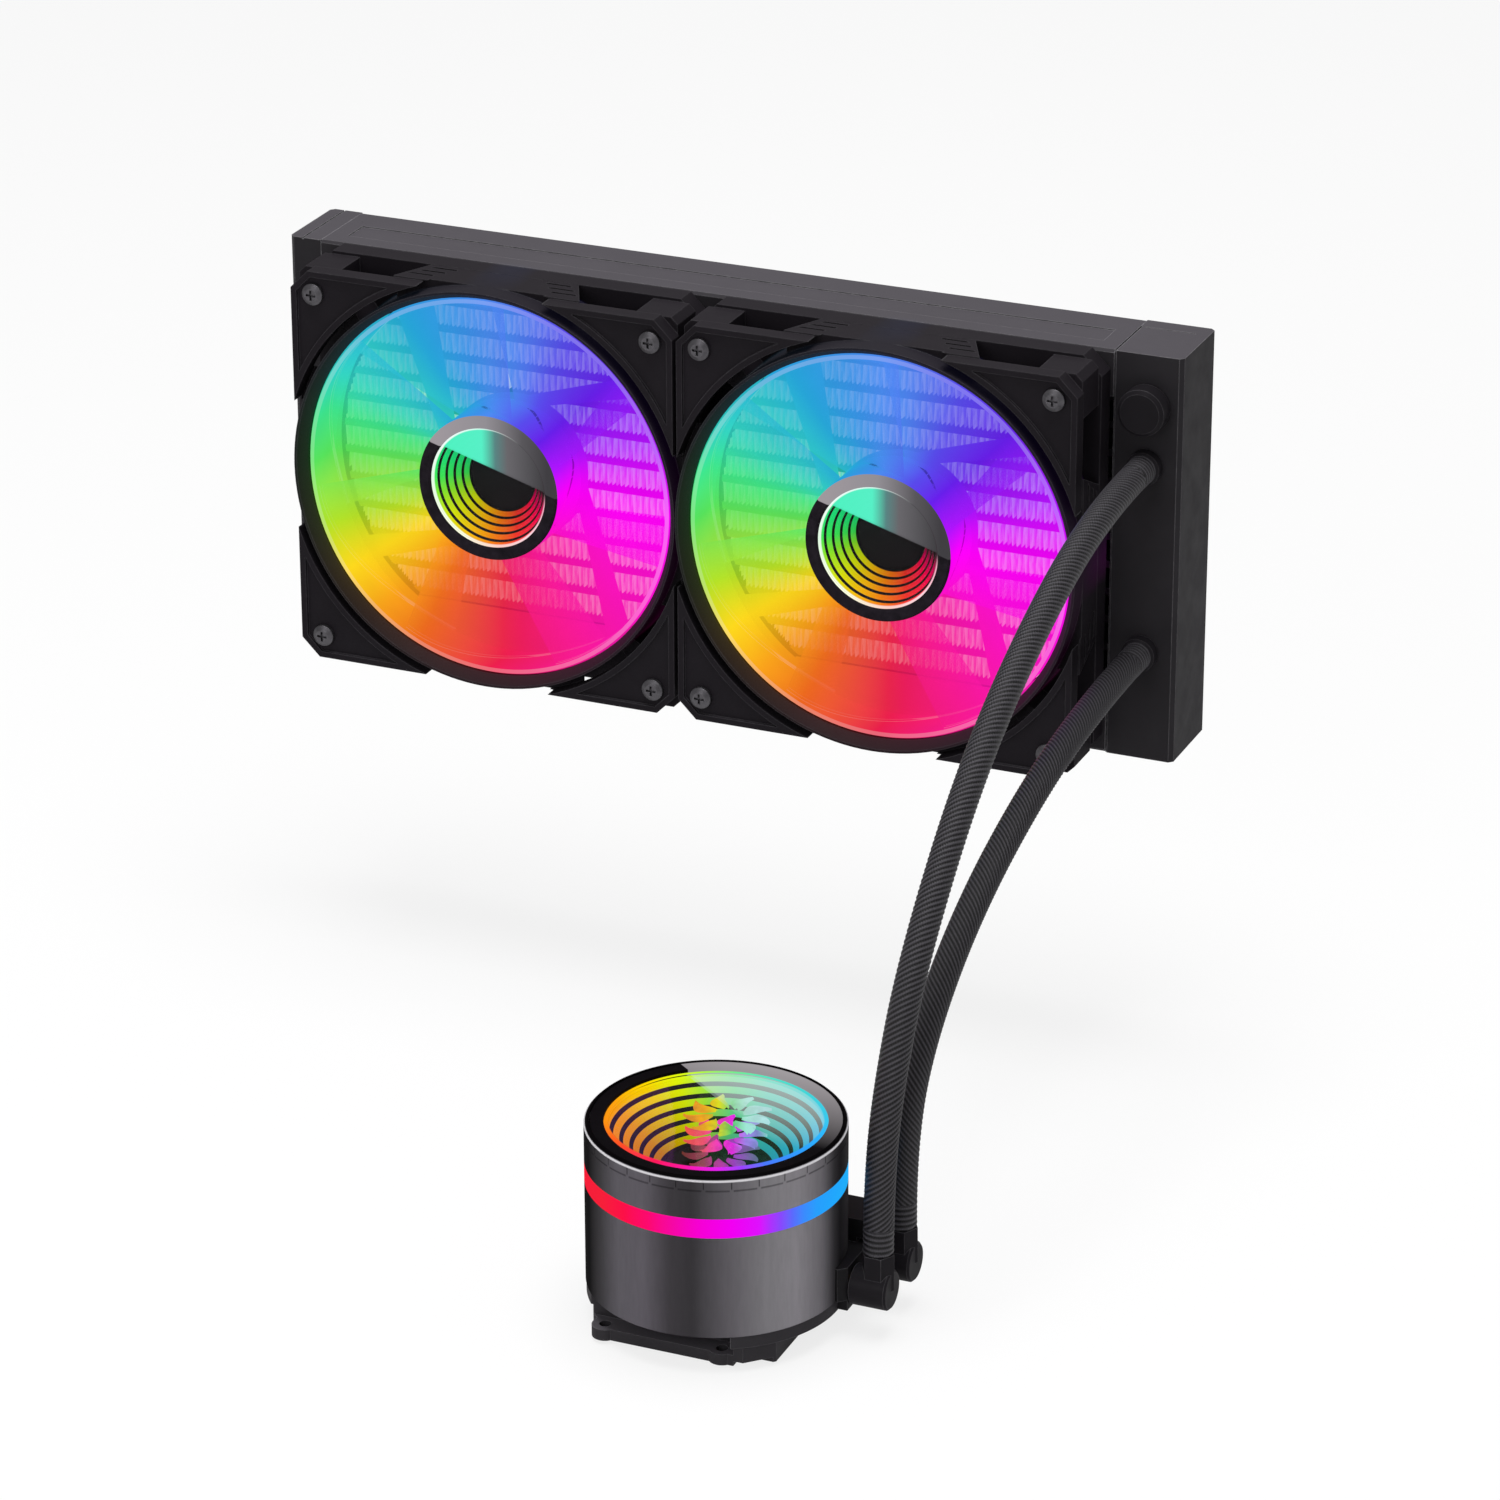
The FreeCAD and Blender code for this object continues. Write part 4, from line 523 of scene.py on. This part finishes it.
def ring_finish(name, colours, centre, axis, dim_per_metre):
    """Light bands in a mirror tunnel, dimmer with depth."""
    make = Finish(name)
    x, y, z = make.parts()
    if axis == "y":
        first = make.math("SUBTRACT", x, centre[0])
        second, depth = z, make.math("SUBTRACT", y, centre[1])
    else:
        first = make.math("SUBTRACT", x, centre[0])
        second, depth = make.math("SUBTRACT", y, centre[1]), make.math("SUBTRACT", centre[2], z)
    turn = make.math("MULTIPLY_ADD", make.math("ARCTAN2", second, first), 1 / (2 * math.pi), 0.5)
    colour = make.wheel(turn, colours)
    strength = make.math("SUBTRACT", 1.0, make.math("MULTIPLY", depth, dim_per_metre))
    return make.done(make.glow(colour, strength))


dark = Finish("tunnel_dark")
tunnel_dark = dark.done(dark.surface(dark.mix(dark.noise(300), linear("#1a191b"), linear("#242225")), 0.7,
                                     0.0, 0.05))
bright = Finish("lit_edge")
lit_edge = bright.done(bright.glow(bright.mix(bright.noise(90), (1, 1, 1, 1), (0.9, 0.93, 0.9, 1)), 0.95))
HUB_RAINBOW = [
    (-180, "#40f05a"), (-165, "#86f030"), (-140, "#e0f010"), (-115, "#ffc414"), (-90, "#ff8418"),
    (-65, "#ff3c30"), (-35, "#ff1050"), (-20, "#d01058"), (-5, "#40242e"), (20, "#2a282b"), (75, "#2a3032"),
    (100, "#2c7468"), (125, "#20c888"), (160, "#22e878"), (180, "#40f05a")]
HUB_TUNNEL_RADIUS, HUB_TUNNEL_FRONT = 0.0184, 0.0466
HUB_RINGS, HUB_STEP, HUB_SHRINK = 5, 0.0018, 0.092
for number, x in ((1, -FAN_SIDE), (2, FAN_SIDE)):
    def hub_space(a, b, h, x=x):
        return (x + a, -h, b)

    rings = lathe(f"fan_{number}_hub_rings", tunnel_outlines(
        HUB_TUNNEL_RADIUS, HUB_TUNNEL_FRONT, HUB_RINGS, HUB_STEP, 0.66, HUB_SHRINK), 96, hub_space)
    disc = lathe("disc", closing_disc(HUB_TUNNEL_RADIUS, HUB_TUNNEL_FRONT, HUB_RINGS, HUB_STEP, HUB_SHRINK),
                 96, hub_space)
    edge = lathe("edge", [(2, [(HUB_TUNNEL_RADIUS, 0.04655), (0.01815, 0.0467), (0.0178, 0.04655)])], 96,
                 hub_space)
    hub_light = ring_finish(f"hub_light_{number}", HUB_RAINBOW, (x, -HUB_TUNNEL_FRONT), "y", 45)
    join_to(rings, (disc, edge), (hub_light, tunnel_dark, lit_edge))
    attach(rings, f"fan_{number}_turning_parts")
    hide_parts(f"fan_{number}_hub_light_ring", f"fan_{number}_hub_mirror")

PUMP = Vector((0.082, -0.213, 0.0))
PUMP_RAINBOW = [
    (-180, "#ffa410"), (-157, "#ff9410"), (-140, "#ff6a1a"), (-127, "#ff4a28"), (-102, "#ff1a58"),
    (-85, "#ff1aa0"), (-67, "#e81af0"), (-52, "#9a40ff"), (-39, "#4a78ff"), (-17, "#2f9cff"),
    (8, "#2cb8ff"), (23, "#38c8f0"), (53, "#40d4dc"), (83, "#50e4c8"), (103, "#70f090"),
    (120, "#b0f840"), (133, "#e6ff10"), (153, "#ffd800"), (180, "#ffa410")]


def pump_space(a, b, h):
    return (PUMP.x + a, PUMP.y + b, h)


TUNNEL_RADIUS, TUNNEL_TOP = 0.0294, -0.0977
TUNNEL_RINGS, TUNNEL_STEP, TUNNEL_SHRINK = 6, 0.0021, 0.088
tunnel = lathe("pump_light_rings", tunnel_outlines(
    TUNNEL_RADIUS, TUNNEL_TOP, TUNNEL_RINGS, TUNNEL_STEP, 0.6, TUNNEL_SHRINK), 128, pump_space)
tunnel_end = lathe("tunnel_end", closing_disc(
    TUNNEL_RADIUS, TUNNEL_TOP, TUNNEL_RINGS, TUNNEL_STEP, TUNNEL_SHRINK), 128, pump_space)
pump_light = ring_finish("pump_light", PUMP_RAINBOW, (PUMP.x, PUMP.y, TUNNEL_TOP), "z", 42)
join_to(tunnel, (tunnel_end,), (pump_light, tunnel_dark))
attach(tunnel, "cooler")
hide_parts("light_tunnel", "back_mirror")


def rosette(name, radius, leaves, levels):
    """A plain wreath of leaves, repeated deeper down as its reflections."""
    vertices, faces = [], []
    for number, (rise, height, size) in enumerate(levels):
        for leaf in range(leaves):
            angle = 2 * math.pi * (leaf + 0.5 * number) / leaves
            start = len(vertices)
            for step in range(9):
                reach = radius * size * (0.34 + 0.66 * step / 8)
                bent = angle + 0.22 * math.sin(math.pi * step / 8)
                along = (math.cos(bent), math.sin(bent))
                aside = (-along[1], along[0])
                half = radius * size * 0.19 * math.sin(math.pi * (0.06 + 0.9 * step / 8)) ** 0.8
                for side, lift in ((-1, 0.0), (0, 0.0006), (1, 0.0)):
                    vertices.append((PUMP.x + along[0] * reach + aside[0] * half * side,
                                     PUMP.y + rise + along[1] * reach + aside[1] * half * side,
                                     height + lift))
            for step in range(8):
                for side in (0, 1):
                    at = start + 3 * step + side
                    faces.append((at, at + 1, at + 4, at + 3))
    item = add_mesh(name, vertices, faces)
    make = Finish("rosette_light")
    x, y, z = make.parts()
    across = make.span(make.math("ADD", make.math("SUBTRACT", x, PUMP.x), make.math(
        "MULTIPLY", make.math("SUBTRACT", y, PUMP.y), 0.42)), -0.0095, 0.0145)
    high = make.ramp(across, [(0.0, "#ff9a30"), (0.25, "#ffb020"), (0.42, "#e8e820"), (0.58, "#58d868"),
                              (0.75, "#a8f0e0"), (1.0, "#b0f0f4")])
    middle = make.ramp(across, [(0.0, "#ff6048"), (0.25, "#ff4f78"), (0.45, "#ff28d0"), (0.6, "#f018f0"),
                                (0.74, "#b088ff"), (0.88, "#9098e8"), (1.0, "#88e0d8")])
    low = make.ramp(across, [(0.0, "#7a3a30"), (0.25, "#a84060"), (0.48, "#c030b0"), (0.62, "#a040c8"),
                             (0.8, "#7868a8"), (1.0, "#3c8078")])
    colour = make.mix(make.math("GREATER_THAN", z, (levels[0][1] + levels[1][1]) / 2), make.mix(
        make.math("GREATER_THAN", z, (levels[1][1] + levels[2][1]) / 2), low, middle), high)
    item.data.materials.append(make.done(make.glow(make.mix(
        make.span(make.noise(260, 2), 0.4, 0.62, 0.0, 0.25), colour, (0.05, 0.04, 0.06, 1)), 0.97)))
    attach(item, "cooler")
    return item


rosette("pump_rosette", 0.0118, 9, [(0.0080, -0.0988, 1.0), (0.0055, -0.1032, 0.95), (0.0035, -0.1078, 0.88)])


# ---------------------------------------------------------------- finishes of the CAD nodes
def veil(make, axis, over_glass):
    """The pale reflection over a mirror, above one straight line: its share and its colour."""
    x, y, z = make.parts()
    if axis == "y":
        side = make.math("SUBTRACT", x, make.math("MULTIPLY", make.math("SIGN", x), FAN_SIDE))
        above = make.math("SUBTRACT", z, make.math("MULTIPLY_ADD", side, -0.30, 0.0065))
        fade = 0.86 if over_glass else 0.92
        stops = [(0.0, "#4cf4c0"), (0.45, "#58f2c8"), (0.56, "#5a8684"), (0.66, "#6a686c"), (1.0, "#38373a")]
        if not over_glass:
            stops = [(0.0, "#a8a0a5"), (0.5, "#98949a"), (0.8, "#5c5a5e"), (1.0, "#434145")]
        colour = make.ramp(make.span(side, -0.019, 0.019), stops)
    else:
        side = make.math("SUBTRACT", x, PUMP.x)
        rise = make.math("SUBTRACT", y, PUMP.y)
        above = make.math("SUBTRACT", side, make.math("MULTIPLY_ADD", rise, -1.351, 0.0131))
        fade = make.span(rise, -0.005, 0.032, 0.0, 0.38 if over_glass else 0.62)
        colour = linear("#d8ecea" if over_glass else "#c8c2c6")
    return make.math("MULTIPLY", make.span(above, -0.0001, 0.0001), fade), colour


def lit_line(make, axis, colours, inner, outer):
    """A thin lit ring at the edge of a mirror: its mask and its colour."""
    x, y, z = make.parts()
    if axis == "y":
        first, second = make.math("SUBTRACT", x, make.math("MULTIPLY", make.math("SIGN", x), FAN_SIDE)), z
    else:
        first, second = make.math("SUBTRACT", x, PUMP.x), make.math("SUBTRACT", y, PUMP.y)
    radius = make.math("SQRT", make.math("ADD", make.math("MULTIPLY", first, first),
                                         make.math("MULTIPLY", second, second)))
    turn = make.math("MULTIPLY_ADD", make.math("ARCTAN2", second, first), 1 / (2 * math.pi), 0.5)
    if axis == "z":
        # The bezel's thickness hides the glass next to it at the front, so the line is wider there.
        near = make.math("COSINE", make.math("ADD", make.math("ARCTAN2", second, first), math.radians(67)))
        inner = make.math("SUBTRACT", inner, make.math("MULTIPLY", make.math("MAXIMUM", near, 0.0), 0.0026))
    mask = make.math("MULTIPLY", make.span(make.math("SUBTRACT", radius, inner), -0.00015, 0.00015),
                     make.math("LESS_THAN", radius, outer))
    return mask, make.wheel(turn, colours)


HUB_LINE = [
    (-180, "#e8ffe8"), (-120, "#fdffe0"), (-80, "#ffd0c8"), (-45, "#ffd8e0"), (-10, "#ffb0c8"),
    (2, "#3a3338"), (55, "#4a484c"), (72, "#b0b4b4"), (95, "#d8fff4"), (140, "#f4fffa"),
    (180, "#e8ffe8")]


def glass_finish(name, axis):
    """A clear half mirror with a painted reflection, a pale zone above one straight line, and a thin lit
    edge.
    """
    make = Finish(name)
    clear = make.add("BsdfTransparent", {"Color": (0.97, 0.97, 0.98, 1)}).outputs[0]
    share, colour = veil(make, axis, True)
    # Painted reflection: a pale glowing zone over the clear glass above one straight line.
    painted_glare = make.blend(share, clear, make.glow(colour, 1.0))
    if axis == "y":
        mask, line = lit_line(make, axis, HUB_LINE, 0.01755, 0.0183)
    else:
        mask, line = lit_line(make, axis, PUMP_RAINBOW, 0.0282, 0.0295)
    painted_glare = make.blend(mask, painted_glare, make.glow(line, 1.0))
    gloss = make.add("BsdfGlossy", {"Color": (1, 1, 1, 1), "Roughness": 0.03}).outputs[0]
    mirror = make.add("Fresnel", {"IOR": 1.45}).outputs[0]
    return make.done(make.blend(make.math("MULTIPLY", mirror, 0.03), painted_glare, gloss))


def bezel_finish(name, axis, base):
    """The black frame of a mirror, under the same pale reflection."""
    make = Finish(name)
    rounded, highlit_edges = make.soft_edges(0.0002)
    colour = make.mix(make.noise(400), linear(base), linear("#0c0b0d"))
    body = make.surface(colour, 0.6, 0.0, 0.02, rounded)
    share, pale = veil(make, axis, False)
    return make.done(make.blend(share, body, make.glow(pale, 1.0)))


def round_pump(make):
    """Angle about the pump's axis, in degrees."""
    x, y, z = make.parts()
    turn = make.math("ARCTAN2", make.math("SUBTRACT", y, PUMP.y), make.math("SUBTRACT", x, PUMP.x))
    return make.math("MULTIPLY", turn, 180 / math.pi), z


# Painted shading round the pump's shell, by angle in degrees: paler where light falls, near black at the left
# limb.
SHELL_PAINTED_SHADING = [
    (-180, "#242225"), (-157, "#030303"), (-140, "#080708"), (-126, "#413f42"), (-114, "#605d63"),
    (-100, "#625e65"), (-87, "#413e42"), (-77, "#39373a"), (-60, "#656267"), (-45, "#817f83"),
    (-30, "#8e8b90"),
    (-15, "#757277"), (-5, "#3c3a3d"), (2, "#242225"), (12, "#3c3a3d"), (23, "#343134"), (60, "#3c3a3d"),
    (110, "#58565a"), (150, "#464448"), (180, "#242225")]


def gunmetal_finish():
    """Satin metal with painted shading in broad soft tones, a bright rim painted as a highlight, and shallow
    sockets below it with painted shade in their edges.
    """
    make = Finish("satin_gunmetal")
    turn, z = round_pump(make)
    rounded, highlit_edges = make.soft_edges(0.0004)
    tone = make.wheel(make.span(turn, -180, 180), SHELL_PAINTED_SHADING)
    grain = make.noise(900, 3, 0.6, make.stretch(1, 1, 0.15))
    tone = make.mix(make.span(grain, 0.3, 0.7, 0.0, 0.10), tone, linear("#1a191b"))
    # Painted shade: thin dark lines along the sides and lower edges of the shallow sockets, with a matching
    # bump.
    cell = make.math("ABSOLUTE", make.math("SUBTRACT", make.math("FRACT", make.math(
        "DIVIDE", make.math("ADD", turn, 360), 12.0)), 0.5))
    upright = make.math("MULTIPLY", make.span(cell, 0.475, 0.487), make.math("MULTIPLY", make.span(
        z, -0.0987, -0.0983), make.span(z, -0.0962, -0.0965)))
    level = make.math("MULTIPLY", make.span(cell, 0.44, 0.42), make.math("MULTIPLY", make.span(
        z, -0.0993, -0.0991), make.span(z, -0.0986, -0.0988)))
    line = make.math("MAXIMUM", upright, make.math("MULTIPLY", level, 0.7))
    tone = make.mix(make.math("MULTIPLY", line, 0.75), tone, linear("#1c1a1d"))
    # Painted highlight: a thin pale line along the rim.
    rim = make.math("MULTIPLY", make.span(z, -0.09655, -0.0964), make.span(z, -0.0959, -0.0961))
    tone = make.mix(make.math("MULTIPLY", rim, 0.9), tone, linear("#d0ced2"))
    tone = make.mix(make.span(z, -0.0960, -0.0958), tone, linear("#060506"))
    normal = make.bump(line, -0.0002, 0.6, make.bump(grain, 0.00002, 0.4, rounded))
    dull = make.add("BsdfDiffuse", {"Color": tone, "Roughness": 0.2, "Normal": normal}).outputs[0]
    return make.done(make.blend(0.10, dull, make.surface(tone, 0.5, 0.0, 0.10, normal)))


def band_finish():
    """The lit band round the pump, red at the left and blue at the right."""
    make = Finish("pump_band")
    x, y, z = make.parts()
    turn = make.math("MULTIPLY_ADD", make.math("ARCTAN2", make.math("SUBTRACT", y, PUMP.y),
                                               make.math("SUBTRACT", x, PUMP.x)), 1 / (2 * math.pi), 0.5)
    colours = [(-180, "#ff4a20"), (-157, "#f8203a"), (-125, "#f8203a"), (-110, "#ff1048"), (-97, "#ff0a70"),
               (-85, "#f808a8"), (-73, "#f800d8"), (-60, "#f400f4"), (-48, "#e010ff"), (-43, "#b030ff"),
               (-38, "#8a48ff"), (-32, "#5a6cff"), (-26, "#3c8cff"), (-18, "#28a0ff"), (-5, "#22a8ff"),
               (15, "#22b0fa"), (45, "#30e8c0"), (80, "#50ee70"), (120, "#c8ee2a"), (150, "#ffb41e"),
               (180, "#ff4a20")]
    return make.done(make.glow(make.wheel(turn, colours), 0.98))


def metal(name, base, roughness, grain, metallic=1.0, streak=(1, 1, 1)):
    make = Finish(name)
    rounded, highlit_edges = make.soft_edges(0.0003)
    texture = make.noise(grain, 3, 0.6, make.stretch(*streak))
    dull = tuple(value * 0.72 for value in linear(base)[:3]) + (1.0,)
    colour = make.mix(make.span(texture, 0.25, 0.75), dull, linear(base))
    normal = make.bump(texture, 0.00003, 0.5, rounded)
    rough = make.span(make.noise(90, 2), 0.3, 0.7, roughness - 0.04, roughness + 0.06)
    return make.done(make.surface(colour, rough, metallic, 0.5, normal))


# In these coats the second colour paints a highlight on the edges, and a third colour, where given, paints
# up-facing faces lighter as if lit from above.
finishes = {
    "radiator_black": lit_inside("coated_radiator", "#252326", "#a09ea2", 0.46, 0.25, 1500, 0.00004, 0.0004,
                                 0.75, 0.8, "#4c494e"),
    "core_black": lit_inside("coated_core", "#161518", "#2c2b2e", 0.5, 0.2, 900, 0.00003, 0.0004, 0.4, 0.62),
    "fitting_black": coat("anodised_fitting", "#1c1a1d", "#8a888c", 0.38, 0.12, 1100, 0.00003, 0.0003, 0.6),
    "spigot_brass": metal("turned_brass", "#b8925a", 0.25, 500),
    "black_rubber": coat("matt_rubber", "#141315", "#1c1b1d", 0.75, 0.3, 1400, 0.00005),
    "fan_black": lit_inside("fan_moulding", "#1a171b", "#5c5a5e", 0.55, 0.18, 1300, 0.00006, 0.0005,
                            0.5, 0.84, "#252226"),
    "rotor_frosted": rotor_finish(),
    "polished_steel": metal("ground_steel", "#b9b9bc", 0.2, 400),
    "bearing_bronze": metal("sintered_bronze", "#9c7040", 0.45, 900),
    "magnet_grey": coat("bonded_magnet", "#38383a", "#505052", 0.6, 0.4, 900, 0.00004),
    "stator_steel": metal("stacked_steel", "#8a8a8c", 0.45, 900, 1.0, (1, 8, 8)),
    "board_green": coat("solder_mask", "#123d22", "#2a6a3c", 0.45, 0.5, 300, 0.00003),
    "screw_steel": metal("dark_screw", "#5e5c60", 0.42, 800, 0.9),
    "cold_plate_copper": metal("ground_copper", "#c87e58", 0.28, 600, 1.0, (1, 14, 1)),
    "pump_black": coat("pump_moulding", "#171618", "#7a787c", 0.5, 0.2, 1200, 0.00006, 0.0003, 0.5),
    "inner_plastic": coat("natural_plastic", "#c8c6be", "#dcdad2", 0.45, 0.5, 600, 0.00003),
    "ceramic": coat("white_ceramic", "#dedcd6", "#f0eee8", 0.2, 0.5, 400, 0.00001),
    "gunmetal": gunmetal_finish(),
}
finishes["hub_glass"] = glass_finish("hub_glass", "y")
finishes["pump_glass"] = glass_finish("pump_glass", "z")
finishes["hub_bezel"] = bezel_finish("hub_bezel_black", "y", "#2c262e")
finishes["pump_bezel"] = bezel_finish("pump_bezel_black", "z", "#060507")
finishes["pump_band"] = band_finish()
finishes["pump_foot"] = coat("foot_moulding", "#302e31", "#8a888c", 0.5, 0.2, 1200, 0.00006, 0.0003, 0.5,
                             top="#565358")
special = {"front_mirror": "pump_glass", "light_band": "pump_band",
           "mirror_bezel": "pump_bezel", "pump_base": "pump_foot",
           "fan_1_hub_lens": "hub_glass", "fan_2_hub_lens": "hub_glass",
           "fan_1_hub_bezel": "hub_bezel", "fan_2_hub_bezel": "hub_bezel"}
for name, item in nodes.items():
    for index, plain in enumerate(item.data.materials):
        finish = finishes.get(special.get(name, plain.name))
        if finish:
            item.data.materials[index] = finish

# ---------------------------------------------------------------- floor, world and lamps
FLOOR_HALF, FLOOR_HEIGHT = 6, -0.1521
floor_mesh = bpy.data.meshes.new("floor")
floor_mesh.from_pydata([(FLOOR_HALF * x, FLOOR_HALF * y, FLOOR_HEIGHT)
                        for x, y in ((-1, -1), (1, -1), (1, 1), (-1, 1))], [], [(0, 1, 2, 3)])
floor = bpy.data.objects.new("floor", floor_mesh)
scene.collection.objects.link(floor)
make = Finish("pale_floor")
path = make.add("LightPath")
seen = make.math("MAXIMUM", path.outputs["Is Camera Ray"], make.math(
    "MAXIMUM", path.outputs["Is Glossy Ray"], path.outputs["Is Transmission Ray"]))
pale = make.add("BsdfDiffuse", {"Color": (0.82, 0.82, 0.82, 1)}).outputs[0]
floor_mesh.materials.append(make.done(make.blend(
    make.math("MULTIPLY", seen, 0.8), pale, make.glow((1, 1, 1, 1)))))

world = bpy.data.worlds.new("studio")
world.use_nodes = True
scene.world = world
tree = world.node_tree
tree.nodes.clear()
output = tree.nodes.new("ShaderNodeOutputWorld")
ambient = tree.nodes.new("ShaderNodeBackground")
white = tree.nodes.new("ShaderNodeBackground")
for background, strength in ((ambient, 0.42), (white, 1.0)):
    background.inputs["Color"].default_value = (1, 1, 1, 1)
    background.inputs["Strength"].default_value = strength
choice = tree.nodes.new("ShaderNodeMixShader")
rays = tree.nodes.new("ShaderNodeLightPath")
tree.links.new(rays.outputs["Is Camera Ray"], choice.inputs[0])
tree.links.new(ambient.outputs[0], choice.inputs[1])
tree.links.new(white.outputs[0], choice.inputs[2])
tree.links.new(choice.outputs[0], output.inputs["Surface"])


def lamp(name, place, target, size, power):
    data = bpy.data.lights.new(name, "AREA")
    data.shape = "DISK"
    data.size = size
    data.energy = power
    item = bpy.data.objects.new(name, data)
    scene.collection.objects.link(item)
    item.location = place
    item.rotation_euler = (Vector(target) - Vector(place)).to_track_quat("-Z", "Y").to_euler()


MIDDLE = (0.05, -0.1, -0.05)
lamp("overhead", (0.1, -0.2, 1.6), MIDDLE, 1.2, 26)
lamp("front", (-0.2, -2.0, 0.8), MIDDLE, 1.0, 9)
